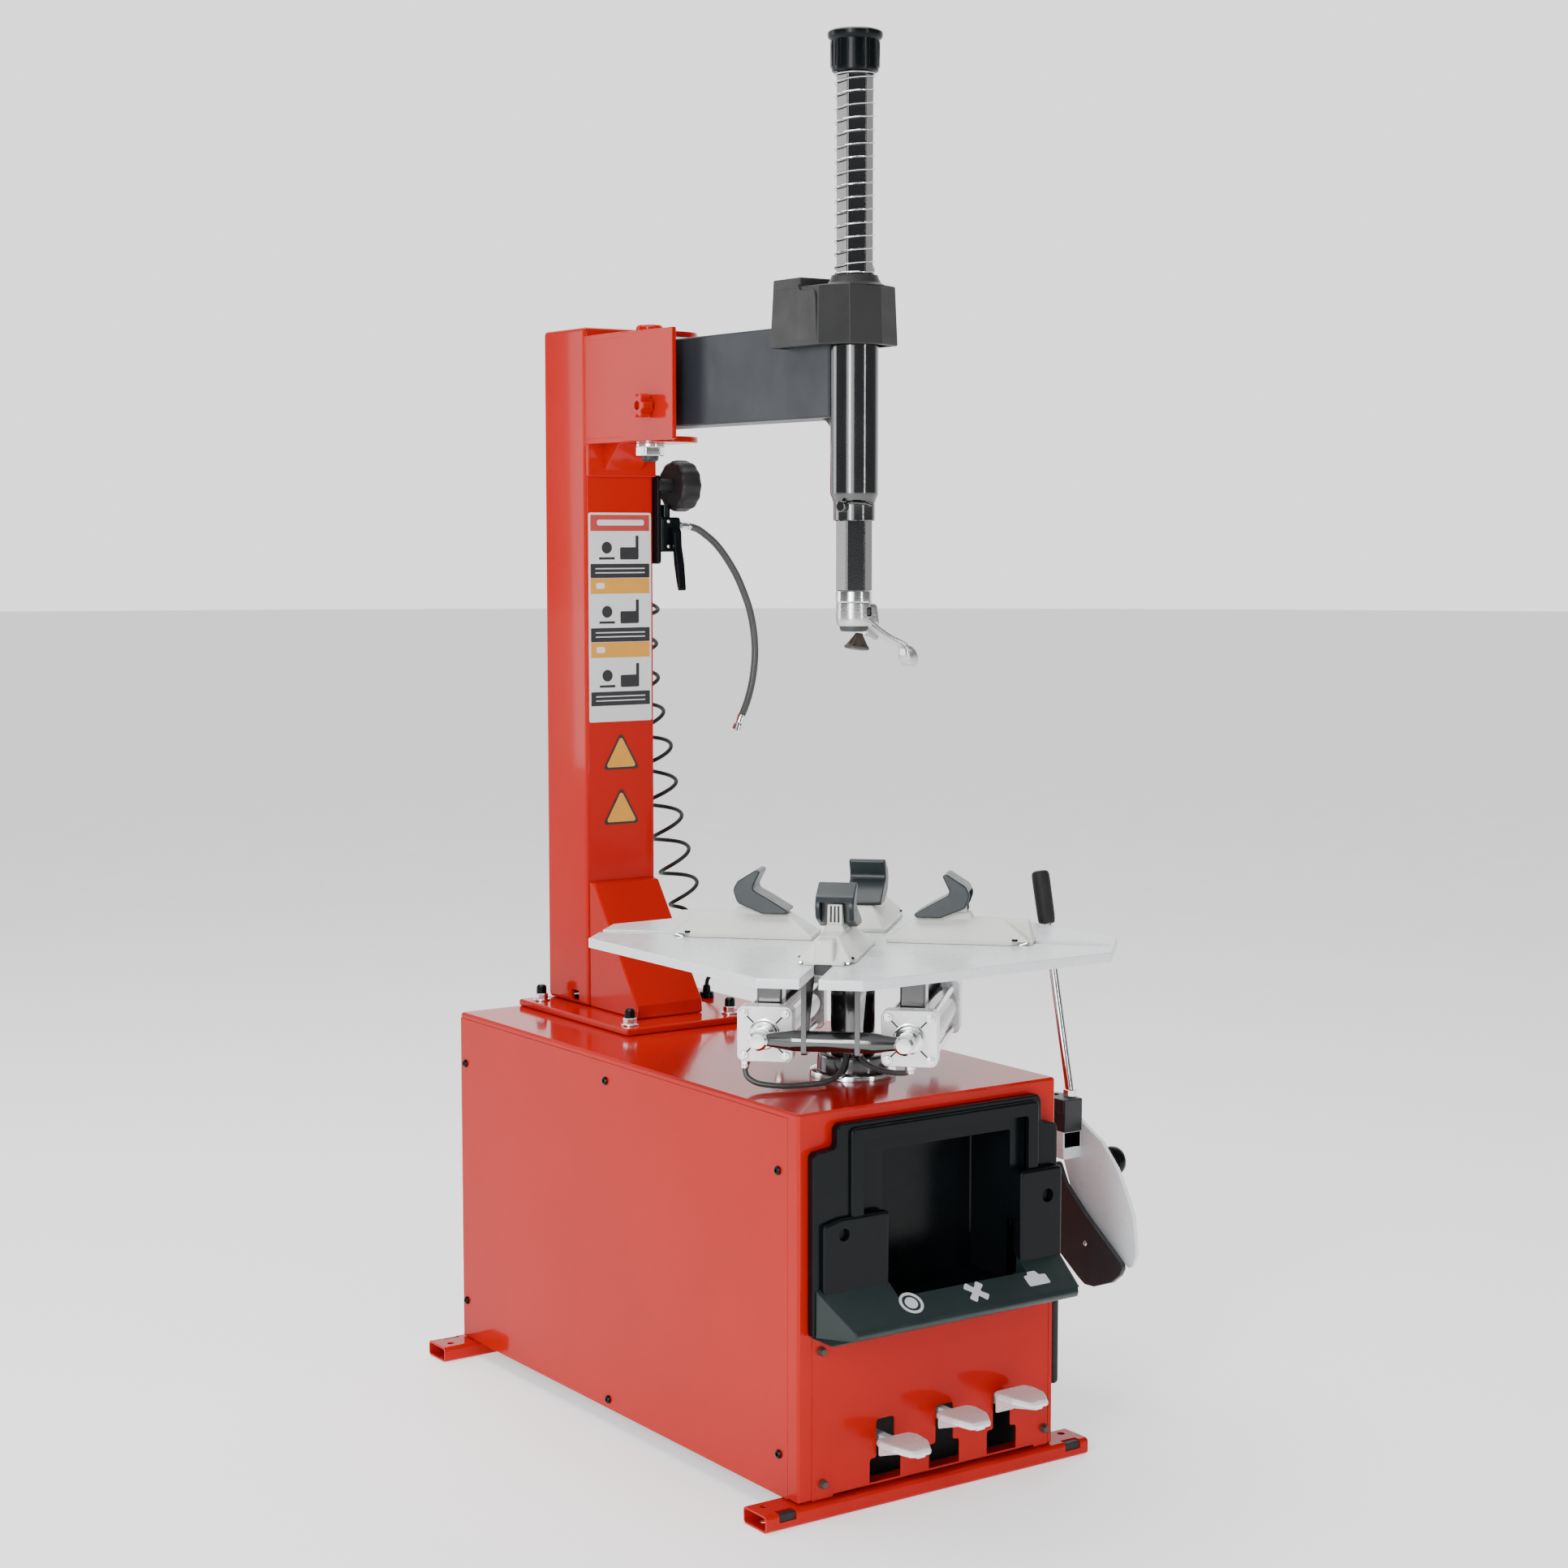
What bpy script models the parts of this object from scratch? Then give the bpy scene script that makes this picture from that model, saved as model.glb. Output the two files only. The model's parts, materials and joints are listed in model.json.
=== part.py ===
"""Swing-arm tire changer: cabinet, column, swing arm, turntable, bead breaker and inflator.

Metres, +Z up. The design frame has its origin on the floor under the middle of the cabinet:
the operator stands on the -Y side, the column is at +Y and the bead breaker at +X.
"""
import math

import bmesh
import bpy
from mathutils import Matrix, Vector

# Middle of the machine's outline in the design frame, moved to the world origin.
OUTLINE_MID = (0.0659, -0.05275)

GAP = 0.0003            # between pieces that touch
RUNNING = 0.0005        # between pieces that turn or slide

# Cabinet
CAB_W = 0.400
CAB_D = 0.852
CAB_TOP = 0.500
SHEET = 0.003
BEAM_H = 0.0215
BEAM_D = 0.050
BEAM_L = 0.505
BEAM_OUT = 0.0095       # how far a beam stands out past the cabinet
POCKET = 0.0016         # depth of the seat of a screwed-on panel
PANEL_T = 0.0013

# Column and arm bracket
COL = 0.115
COL_Y = 0.3624
COL_TOP = 1.478
COL_WALL = 0.005
PLATE_T = 0.010
PIVOT_Y = 0.222
PIN_R = 0.012
BRACKET_LOW = 1.314
BRACKET_HIGH = 1.465
BRACKET_T = 0.008
BRACKET_FRONT = 0.073

# Swing arm and hexagonal shaft
TABLE_Y = -0.262        # axis of the turntable, and of the shaft with the arm straight ahead
ARM_W = 0.060
ARM_LOW = 1.333
ARM_HIGH = 1.451
SLEEVE_R = 0.0305
SLEEVE_LOW = 1.2345
COLLAR_R = 0.0265
COLLAR_LOW = 1.204
HEX_AF = 0.040
HEX_BORE_R = 0.0243
HEX_TURN = math.radians(0)      # direction of one of the shaft's edges
COVER_LOW = 1.422
COVER_TOP = 1.508
COVER_HALF = 0.052
CAP_LOW = 1.7563
CAP_TOP = 1.807
HEAD_TOP = 1.1163
SPRING_R = 0.0253
SPRING_WIRE = 0.0017
SPRING_TURNS = 17

# Turntable
TABLE_TOP = 0.676
TABLE_T = 0.0126
TABLE_FLAT = 0.279      # half the distance across the long flats
TABLE_TIP = 0.331       # half the distance across the short tip edges
SLOT_W = 0.0225
SLOT_FROM = 0.062
HUB_R = 0.0285
CYL_Z = 0.572
CYL_SIDE = 0.070
CYL_OFF = 0.090         # from the table's middle line to each cylinder
CYL_FRONT = -0.130
CYL_BACK = 0.130
ROD_R = 0.010
BAR_AT = -0.165
JAW_R = 0.150           # back of a jaw hook from the table's axis

# Bead breaker
BREAKER_HINGE = (0.245, 0.380)
BREAKER_TIP = (0.3715, -0.222)   # pin that the blade swivels on
BREAKER_Z = 0.390
BREAKER_CYL_Y = 0.200

# Pedals
PEDAL_X = (-0.069, 0.023, 0.115)
PEDAL_Z = (0.084, 0.101, 0.110)
PEDAL_SHAFT = (-0.300, 0.070)

# Inflator on the column's right side
GAUGE_AT = (0.103, 0.305, 1.257)
GAUGE_R = 0.037
TRIGGER_AT = (0.084, 0.286, 1.190)
HOSE_D = 0.0105
HOSE_ROUTE = (
    (0.1148, 0.3000, 1.1988),
    (0.1290, 0.3000, 1.1950),
    (0.1430, 0.2999, 1.1865),
    (0.1580, 0.2998, 1.1755),
    (0.1725, 0.2996, 1.1605),
    (0.1860, 0.2994, 1.1430),
    (0.1985, 0.2992, 1.1235),
    (0.2090, 0.2990, 1.1020),
    (0.2180, 0.2988, 1.0800),
    (0.2240, 0.2986, 1.0570),
    (0.2275, 0.2984, 1.0330),
    (0.2280, 0.2982, 1.0090),
    (0.2255, 0.2980, 0.9850),
    (0.2205, 0.2978, 0.9620),
    (0.2130, 0.2976, 0.9400),
    (0.2040, 0.2974, 0.9210),
)
COIL_R = 0.0285         # outer radius of the curly air hose
COIL_ROUTE = (
    (0.1000, 0.4040, 1.1100),
    (0.0950, 0.4050, 1.0600),
    (0.0940, 0.4050, 1.0100),
    (0.0980, 0.4040, 0.9600),
    (0.1070, 0.4020, 0.9100),
    (0.1180, 0.3995, 0.8600),
    (0.1245, 0.3980, 0.8100),
    (0.1330, 0.3960, 0.7600),
    (0.1435, 0.3930, 0.7100),
    (0.1550, 0.3890, 0.6600),
    (0.1640, 0.3840, 0.6150),
)
LEAD_D = 0.006
LEAD_ROUTE = (
    (0.1655, 0.3825, 0.6080),
    (0.1740, 0.3790, 0.5960),
    (0.1830, 0.3720, 0.5820),
    (0.1890, 0.3610, 0.5690),
    (0.1900, 0.3480, 0.5590),
    (0.1860, 0.3350, 0.5500),
    (0.1770, 0.3280, 0.5420),
    (0.1670, 0.3260, 0.5340),
    (0.1610, 0.3265, 0.5265),
    (0.1600, 0.3270, 0.5195),
)
GROMMET_AT = (0.160, 0.327)

RED = ((0.62, 0.035, 0.018), 0.28, 0.0)
BLACK_PAINT = ((0.016, 0.018, 0.022), 0.3, 0.0)
BLACK_PLASTIC = ((0.020, 0.022, 0.024), 0.42, 0.0)
GREY_PLASTIC = ((0.055, 0.065, 0.070), 0.5, 0.0)
RUBBER = ((0.018, 0.018, 0.019), 0.75, 0.0)
SILVER = ((0.66, 0.67, 0.66), 0.38, 0.6)
CAST = ((0.62, 0.63, 0.64), 0.42, 0.85)
STEEL = ((0.55, 0.56, 0.58), 0.3, 1.0)
ZINC = ((0.72, 0.73, 0.74), 0.3, 1.0)
GREY_PAINT = ((0.12, 0.13, 0.14), 0.5, 0.2)

parts = None
cutters = None
frames = {}


# ---------------------------------------------------------------- helpers

def clear_scene():
    for obj in list(bpy.data.objects):
        bpy.data.objects.remove(obj, do_unlink=True)


def collection(name):
    group = bpy.data.collections.new(name)
    bpy.context.scene.collection.children.link(group)
    return group


def material(look):
    colour, roughness, metallic = look
    name = "look_" + "_".join(f"{round(c * 1000):03d}" for c in (*colour, roughness, metallic))
    found = bpy.data.materials.get(name)
    if found:
        return found
    mat = bpy.data.materials.new(name)
    mat.use_nodes = True
    shader = mat.node_tree.nodes["Principled BSDF"]
    shader.inputs["Base Color"].default_value = (*colour, 1.0)
    shader.inputs["Roughness"].default_value = roughness
    shader.inputs["Metallic"].default_value = metallic
    return mat


def axis_empty(name, location, turn=0.0, parent=None):
    """An empty on a joint's axis; turn is about Z."""
    empty = bpy.data.objects.new(name, None)
    parts.objects.link(empty)
    pose = Matrix.Translation(location) @ Matrix.Rotation(turn, 4, "Z")
    frames[name] = pose
    if parent:
        empty.parent = parent
        empty.matrix_local = frames[parent.name].inverted() @ pose
    else:
        empty.matrix_local = pose
    return empty


def attach(obj, parent):
    """Parents obj, which is placed in the design frame, to a joint's empty."""
    obj.parent = parent
    obj.matrix_parent_inverse = frames[parent.name].inverted()
    return obj


def new_object(name, mesh, look=None, group=None):
    obj = bpy.data.objects.new(name, mesh)
    if look:
        mesh.materials.append(material(look))
    if group is None:
        group = parts if look else cutters
    group.objects.link(obj)
    if group is cutters:
        obj.hide_render = True
        obj.display_type = "WIRE"
    return obj


def from_bmesh(name, bm, look):
    bmesh.ops.recalc_face_normals(bm, faces=bm.faces)
    mesh = bpy.data.meshes.new(name)
    bm.to_mesh(mesh)
    bm.free()
    return new_object(name, mesh, look)


def block(name, low, high, look=None, taper=None):
    """A box between two corners; taper scales its top face in X and Y."""
    bm = bmesh.new()
    bmesh.ops.create_cube(bm, size=1.0)
    size = Vector(h - l for l, h in zip(low, high))
    for vert in bm.verts:
        if taper and vert.co.z > 0:
            vert.co.x *= taper[0]
            vert.co.y *= taper[1]
        vert.co = Vector(c * s for c, s in zip(vert.co, size))
    obj = from_bmesh(name, bm, look)
    obj.location = [(l + h) / 2 for l, h in zip(low, high)]
    return obj


def bar(name, start, end, radius, look=None, sides=20, end_radius=None):
    """A round bar, or a cone, between two points; it is smooth except at its ends."""
    start = Vector(start)
    end = Vector(end)
    bm = bmesh.new()
    bmesh.ops.create_cone(bm, cap_ends=True, segments=sides, radius1=radius,
                          radius2=radius if end_radius is None else end_radius,
                          depth=(end - start).length)
    obj = from_bmesh(name, bm, look)
    if sides > 8:
        smooth(obj)
    obj.location = (start + end) / 2
    obj.rotation_euler = (end - start).to_track_quat("Z", "Y").to_euler()
    return obj


def turned(name, profile, base, look=None, steps=20, turn=(0.0, 0.0, 0.0)):
    """A turned piece: profile is (radius, height) down its outer side, from axis to axis."""
    mesh = bpy.data.meshes.new(name)
    points = [(radius, 0.0, height) for radius, height in profile]
    mesh.from_pydata(points, [(i, i + 1) for i in range(len(points) - 1)], [])
    obj = new_object(name, mesh, look)
    screw = obj.modifiers.new("turn", "SCREW")
    screw.axis = "Z"
    screw.steps = steps
    screw.render_steps = steps
    screw.use_merge_vertices = True
    screw.merge_threshold = 0.00001
    obj.location = base
    obj.rotation_euler = turn
    return obj


def prism(name, outline, plane, low, high, look=None):
    """A flat outline given in a plane (XY, YZ or XZ), as thick as from low to high."""
    curve = bpy.data.curves.new(name, "CURVE")
    curve.dimensions = "2D"
    curve.fill_mode = "BOTH"
    curve.extrude = (high - low) / 2
    spline = curve.splines.new("POLY")
    spline.points.add(len(outline) - 1)
    for point, (a, b) in zip(spline.points, outline):
        point.co = (a, b, 0.0, 1.0)
    spline.use_cyclic_u = True
    flat = bpy.data.objects.new(name + "_outline", curve)
    cutters.objects.link(flat)
    evaluated = flat.evaluated_get(bpy.context.evaluated_depsgraph_get())
    mesh = bpy.data.meshes.new_from_object(evaluated)
    bpy.data.objects.remove(flat, do_unlink=True)
    middle = (low + high) / 2
    basis = {
        "XY": Matrix.Translation((0, 0, middle)),
        "YZ": Matrix(((0, 0, 1, middle), (1, 0, 0, 0), (0, 1, 0, 0), (0, 0, 0, 1))),
        "XZ": Matrix(((1, 0, 0, 0), (0, 0, -1, middle), (0, 1, 0, 0), (0, 0, 0, 1))),
    }[plane]
    bm = bmesh.new()
    bm.from_mesh(mesh)
    bpy.data.meshes.remove(mesh)
    bmesh.ops.remove_doubles(bm, verts=bm.verts, dist=0.00001)
    bmesh.ops.transform(bm, matrix=basis, verts=bm.verts)
    return from_bmesh(name, bm, look)


def smooth_route(points, spacing):
    """Points about a spacing apart on a smooth curve through the given ones."""
    route = [Vector(p) for p in points]
    ends = [2 * route[0] - route[1], *route, 2 * route[-1] - route[-2]]
    dense = []
    for p0, p1, p2, p3 in zip(ends, ends[1:], ends[2:], ends[3:]):
        count = max(1, round((p2 - p1).length / spacing))
        for i in range(count):
            t = i / count
            dense.append(0.5 * (2 * p1 + (p2 - p0) * t + (2 * p0 - 5 * p1 + 4 * p2 - p3) * t ** 2
                                + (3 * p1 - p0 - 3 * p2 + p3) * t ** 3))
    return dense + [route[-1]]


def tube(name, points, diameter, look, resolution=2):
    """A tube with filled ends along a line of points."""
    curve = bpy.data.curves.new(name, "CURVE")
    curve.dimensions = "3D"
    curve.bevel_depth = diameter / 2
    curve.bevel_resolution = resolution
    curve.use_fill_caps = True
    spline = curve.splines.new("POLY")
    spline.points.add(len(points) - 1)
    for point, place in zip(spline.points, points):
        point.co = (*place, 1.0)
    obj = bpy.data.objects.new(name, curve)
    curve.materials.append(material(look))
    parts.objects.link(obj)
    return obj


def boolean(obj, tool, operation):
    modifier = obj.modifiers.new(operation.lower(), "BOOLEAN")
    modifier.operation = operation
    modifier.object = tool
    modifier.solver = "EXACT"
    if obj.parent:
        attach(tool, obj.parent)
    return obj


def cut(obj, *tools):
    for tool in tools:
        boolean(obj, tool, "DIFFERENCE")


def join(obj, *tools):
    for tool in tools:
        boolean(obj, tool, "UNION")


def round_edges(obj, width, segments=2, angle=40):
    bevel = obj.modifiers.new("edges", "BEVEL")
    bevel.width = width
    bevel.segments = segments
    bevel.limit_method = "ANGLE"
    bevel.angle_limit = math.radians(angle)
    return obj


def smooth(obj, angle=35):
    obj.data.shade_smooth()
    obj.data.set_sharp_from_angle(angle=math.radians(angle))
    return obj


def arc(middle, radius, start, end, steps):
    """Points of an arc; angles in degrees."""
    turns = [math.radians(start + (end - start) * i / steps) for i in range(steps + 1)]
    return [(middle[0] + radius * math.cos(t), middle[1] + radius * math.sin(t)) for t in turns]


# ---------------------------------------------------------------- cabinet

def slot_outline(x):
    """A pedal's stepped slot: narrow above, wider below."""
    return ((x - 0.0238, 0.0285), (x + 0.0238, 0.0285), (x + 0.0238, 0.059),
            (x + 0.0140, 0.059), (x + 0.0140, 0.107), (x - 0.0140, 0.107),
            (x - 0.0140, 0.059), (x - 0.0238, 0.059))


def build_cabinet(frame):
    half_w = CAB_W / 2
    half_d = CAB_D / 2
    shell = block("cabinet_shell", (-half_w, -half_d, BEAM_H + GAP), (half_w, half_d, CAB_TOP), RED)
    attach(shell, frame)
    round_edges(shell, 0.003, 1)
    inner_w = half_w - SHEET
    inner_d = half_d - SHEET
    cut(
        shell,
        block("shell_hollow", (-inner_w, -inner_d, 0.0), (inner_w, inner_d, CAB_TOP - SHEET)),
        block("side_seat", (-half_w - 0.01, -0.4045, 0.0), (-half_w + POCKET, half_d + 0.01, 0.4925)),
        block("side_window", (-half_w - 0.01, -0.380, 0.050), (-inner_w + 0.01, 0.395, 0.465)),
        block("front_seat", (-0.180, -half_d - 0.01, 0.0), (0.1915, -half_d + POCKET, 0.2300)),
        block("front_window", (-0.165, -half_d - 0.01, 0.0), (0.176, -inner_d + 0.01, 0.215)),
        block("tray_window", (-0.1345, -half_d - 0.01, 0.240), (0.1745, -inner_d + 0.01, 0.4545)),
        bar("hub_hole", (0, TABLE_Y, 0.48), (0, TABLE_Y, 0.52), HUB_R + 0.006),
        bar("rod_hole", (0.18, BREAKER_CYL_Y, BREAKER_Z), (0.22, BREAKER_CYL_Y, BREAKER_Z), 0.020),
        bar("hose_hole", (*GROMMET_AT, 0.48), (*GROMMET_AT, 0.52), 0.0065, sides=16),
    )
    side = block("side_panel_left", (-half_w, -0.4040, BEAM_H + 0.001),
                 (-half_w + PANEL_T, half_d - 0.0005, 0.4920), RED)
    attach(side, frame)
    front = block("front_panel", (-0.1795, -half_d, BEAM_H + 0.001),
                  (0.1910, -half_d + PANEL_T, 0.2295), RED)
    attach(front, frame)
    for index, x in enumerate(PEDAL_X, 1):
        cut(front, prism(f"pedal_slot_{index}", slot_outline(x), "XZ", -half_d - 0.01, -half_d + 0.01))
    for end, y in (("front", -half_d - BEAM_OUT), ("rear", half_d + BEAM_OUT - BEAM_D)):
        beam = block(f"foot_beam_{end}", (-BEAM_L / 2, y, 0.0), (BEAM_L / 2, y + BEAM_D, BEAM_H), RED)
        attach(beam, frame)
        round_edges(beam, 0.003, 1)
        cut(beam, block(f"beam_hollow_{end}", (-BEAM_L, y + 0.0028, 0.0028),
                        (BEAM_L, y + BEAM_D - 0.0028, BEAM_H - 0.0028)))
        for side_name, x in (("left", -0.228), ("right", 0.228)):
            middle = y + BEAM_D / 2
            cut(beam, bar(f"anchor_hole_{end}_{side_name}", (x, middle, -0.01),
                          (x, middle, 0.03), 0.006, sides=16))


def build_tray(frame):
    """The black plastic tool tray: a flange, a pocket and a sloping shelf."""
    face = -CAB_D / 2
    outline = ((-0.187, 0.2265), (0.1915, 0.2265), (0.1915, 0.4450), (0.1650, 0.4500),
               (0.1650, 0.4790), (0.1590, 0.4850), (-0.1460, 0.4850), (-0.1520, 0.4790),
               (-0.1520, 0.4570), (-0.1820, 0.4540), (-0.1870, 0.4490))
    tray = prism("tool_tray", outline, "XZ", face - 0.014, face - GAP, BLACK_PLASTIC)
    attach(tray, frame)
    profile = ((face - 0.005, 0.2935), (face - 0.0715, 0.2470), (face - 0.0745, 0.2415),
               (face - 0.0700, 0.2350), (face - 0.0500, 0.2275), (face - 0.005, 0.2275))
    shelf = prism("tray_shelf", profile, "YZ", -0.1860, 0.1905)
    for vert in shelf.data.vertices:
        if vert.co.y < face - 0.060:
            vert.co.x = -0.1600 if vert.co.x < 0 else 0.1780
    join(
        tray,
        block("tray_pocket", (-0.1335, face - 0.010, 0.2415), (0.1735, face + 0.075, 0.4535)),
        shelf,
        block("tray_boss", (0.1225, face - 0.026, 0.2700), (0.1900, face - 0.003, 0.3930)),
    )
    cut(
        tray,
        block("tray_hollow", (-0.0810, face - 0.10, 0.2920), (0.1205, face + 0.072, 0.4440)),
        block("tray_hollow_low", (-0.0810, face - 0.04, 0.2520), (0.1205, face + 0.072, 0.2930)),
        block("tray_step", (-0.1160, face - 0.10, 0.2920), (0.1400, face - 0.006, 0.4600)),
        bar("tray_hole_left", (-0.1473, face - 0.03, 0.3515), (-0.1473, face + 0.01, 0.3515), 0.0075,
            sides=16),
        bar("tray_hole_right", (0.1660, face - 0.04, 0.3570), (0.1660, face + 0.01, 0.3570), 0.0085,
            sides=16),
    )


def build_column(frame):
    face = COL_Y - COL / 2
    half = COL / 2
    plate_top = CAB_TOP + GAP + PLATE_T
    plate = block("column_base_plate", (-0.105, 0.120, CAB_TOP + GAP), (0.105, 0.424, plate_top), RED)
    attach(plate, frame)
    round_edges(plate, 0.002, 1)
    column = block("column", (-half, face, plate_top + GAP), (half, face + COL, COL_TOP), RED)
    attach(column, frame)
    round_edges(column, 0.006, 2)
    inner = half - COL_WALL
    cut(
        column,
        block("column_hollow", (-inner, face + COL_WALL, 0.5), (inner, face + COL - COL_WALL,
                                                                COL_TOP - 0.004)),
        block("column_window", (-half - 0.01, 0.331, plate_top + 0.006), (-inner + 0.01, 0.352,
                                                                          plate_top + 0.020)),
    )
    side = ((face - GAP, plate_top + GAP), (face - GAP, 0.692), (face - 0.014, 0.690),
            (0.176, 0.530), (0.174, plate_top + GAP))
    gusset = prism("column_gusset", side, "YZ", -0.0545, 0.0545, RED)
    attach(gusset, frame)
    round_edges(gusset, 0.002, 1)
    hollow = ((face + 0.02, 0.5), (face + 0.02, 0.678), (face - 0.014, 0.678), (0.181, 0.530), (0.179, 0.5))
    cut(gusset, prism("gusset_hollow", hollow, "YZ", -0.0495, 0.0495))


def build_bracket(frame):
    """The box at the top of the column that the arm's eye turns in."""
    face = COL_Y - COL / 2 - GAP
    half = COL / 2
    top_outline = [(-half, face - 0.001), *arc((0, 0.205), half, 180, 360, 14), (half, face - 0.001)]
    bracket = prism("arm_bracket", top_outline, "XY", BRACKET_HIGH - BRACKET_T, BRACKET_HIGH, RED)
    attach(bracket, frame)
    join(
        bracket,
        prism("bracket_floor", top_outline, "XY", BRACKET_LOW, BRACKET_LOW + BRACKET_T),
        block("bracket_side", (-half + 0.0005, BRACKET_FRONT, BRACKET_LOW + 0.001),
              (-half + 0.007, face - 0.002, BRACKET_HIGH - 0.001)),
        block("bracket_back", (-half + 0.001, face - 0.008, BRACKET_LOW - 0.045),
              (half - 0.001, face, BRACKET_HIGH - 0.002)),
        prism("bracket_rib", ((face - 0.004, BRACKET_LOW + 0.004), (0.250, BRACKET_LOW + 0.004),
                              (face - 0.006, BRACKET_LOW - 0.038)), "YZ", -0.030, 0.030),
    )
    cut(
        bracket,
        bar("bracket_bore", (0, PIVOT_Y, 1.25), (0, PIVOT_Y, 1.50), PIN_R + RUNNING, sides=20),
        bar("stop_bore", (-0.08, 0.135, 1.361), (-0.04, 0.135, 1.361), 0.0065, sides=16),
    )
    pin = turned("arm_pivot_pin", ((0.0, COL_TOP), (0.0100, COL_TOP), (0.0190, COL_TOP - 0.003),
                                   (0.0190, BRACKET_HIGH + GAP), (PIN_R, BRACKET_HIGH + GAP),
                                   (PIN_R, 1.291), (PIN_R - 0.002, 1.289), (0.0, 1.289)),
                 (0, PIVOT_Y, 0), ZINC, 24)
    attach(pin, frame)
    nut = bar("pivot_nut", (0, PIVOT_Y, 1.296), (0, PIVOT_Y, BRACKET_LOW - GAP), 0.0215, sides=6)
    nut.rotation_euler = (0, 0, math.radians(10))
    join(pin, nut)
    screw = bar("arm_stop_screw", (-0.0895, 0.135, 1.361), (-0.0315, 0.135, 1.361), 0.0058, RED, 16)
    attach(screw, frame)
    star = [(0.135 + r * math.cos(math.radians(a)), 1.361 + r * math.sin(math.radians(a)))
            for k in range(6) for a, r in ((60 * k - 13, 0.017), (60 * k + 13, 0.017),
                                           (60 * k + 30, 0.0115))]
    join(screw, prism("star_grip", star, "YZ", -0.080, -0.062))


# ---------------------------------------------------------------- swing arm

def build_arm(swing, slide, lever):
    arm = block("swing_arm", (-ARM_W / 2, TABLE_Y + 0.012, ARM_LOW), (ARM_W / 2, PIVOT_Y, ARM_HIGH),
                BLACK_PAINT)
    attach(arm, swing)
    round_edges(arm, 0.003, 1)
    flare = [(TABLE_Y + 0.010, ARM_LOW + 0.02), (-0.190, ARM_LOW + 0.02), (-0.190, ARM_LOW + 0.001),
             *arc((-0.200, ARM_LOW - 0.031), 0.032, 90, 160, 6), (TABLE_Y + 0.027, 1.270),
             (TABLE_Y + 0.010, 1.266)]
    join(
        arm,
        bar("arm_eye", (0, PIVOT_Y, BRACKET_LOW + BRACKET_T + RUNNING),
            (0, PIVOT_Y, BRACKET_HIGH - BRACKET_T - RUNNING), 0.036, sides=20),
        prism("arm_flare", flare, "YZ", -0.012, 0.012),
        bar("arm_sleeve", (0, TABLE_Y, SLEEVE_LOW), (0, TABLE_Y, 1.470), SLEEVE_R, sides=20),
        bar("sleeve_collar", (0, TABLE_Y, COLLAR_LOW), (0, TABLE_Y, SLEEVE_LOW + 0.001), COLLAR_R,
            sides=20),
        bar("sleeve_step", (0, TABLE_Y, SLEEVE_LOW - 0.006), (0, TABLE_Y, SLEEVE_LOW + 0.001), COLLAR_R,
            sides=24,
            end_radius=SLEEVE_R),
        bar("collar_boss", (-0.0290, TABLE_Y - 0.014, 1.222), (-0.010, TABLE_Y - 0.006, 1.222), 0.0075,
            sides=16),
    )
    cut(
        arm,
        bar("arm_bore", (0, PIVOT_Y, 1.25), (0, PIVOT_Y, 1.50), PIN_R + RUNNING, sides=20),
        block("arm_hollow", (-ARM_W / 2 + 0.005, -0.225, ARM_LOW + 0.005), (ARM_W / 2 - 0.005, 0.180,
                                                                            ARM_HIGH - 0.005)),
        bar("arm_vent", (0, 0.12, ARM_LOW - 0.01), (0, 0.12, ARM_LOW + 0.01), 0.004, sides=12),
        bar("sleeve_bore", (0, TABLE_Y, 1.1), (0, TABLE_Y, 1.6), HEX_BORE_R, sides=20),
    )
    build_lock(swing, lever)
    build_shaft(slide, swing)


def build_lock(swing, lever):
    """The moulded cover round the top of the sleeve, and the lever that locks the shaft."""
    nose = TABLE_Y - 0.050
    back = -0.150
    plan = ((-COVER_HALF, back), (-COVER_HALF, TABLE_Y - 0.021), (-0.0225, nose), (0.0225, nose),
            (COVER_HALF, TABLE_Y - 0.021), (COVER_HALF, back))
    cover = prism("lock_cover", plan, "XY", COVER_LOW, COVER_TOP, BLACK_PLASTIC)
    attach(cover, swing)
    middle = Vector((0, (nose + back) / 2, COVER_TOP))
    for vert in cover.data.vertices:
        if vert.co.z > (COVER_LOW + COVER_TOP) / 2:
            vert.co.x = middle.x + (vert.co.x - middle.x) * 0.945
            vert.co.y = middle.y + (vert.co.y - middle.y) * 0.945
    inner = ((-0.0465, back - 0.006), (-0.0465, TABLE_Y - 0.019), (-0.0195, nose + 0.006),
             (0.0195, nose + 0.006),
             (0.0465, TABLE_Y - 0.019), (0.0465, back - 0.006))
    cut(
        cover,
        prism("cover_hollow", inner, "XY", COVER_LOW - 0.01, COVER_TOP - 0.0045),
        block("cover_notch", (-ARM_W / 2 - 0.001, back - 0.05, COVER_LOW - 0.01),
              (ARM_W / 2 + 0.001, back + 0.05, ARM_HIGH + 0.001)),
        bar("cover_hole", (0, TABLE_Y, 1.48), (0, TABLE_Y, 1.53), 0.0252, sides=20),
    )
    grip = [(-0.2275, COVER_TOP + 0.0030), *arc((-0.222, COVER_TOP + 0.0088), 0.0082, 200, 40, 8),
            (-0.2080, COVER_TOP + 0.0150), (-0.1975, COVER_TOP + 0.0200), (-0.1850, COVER_TOP + 0.0215),
            (-0.1840, COVER_TOP + 0.0170), (-0.1950, COVER_TOP + 0.0145), (-0.2040, COVER_TOP + 0.0080),
            (-0.2130, COVER_TOP + 0.0015), (-0.222, COVER_TOP + 0.0006)]
    handle = prism("lock_lever", grip, "YZ", 0.0325, 0.0425, ZINC)
    attach(handle, lever)
    round_edges(handle, 0.0012, 1)


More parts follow.
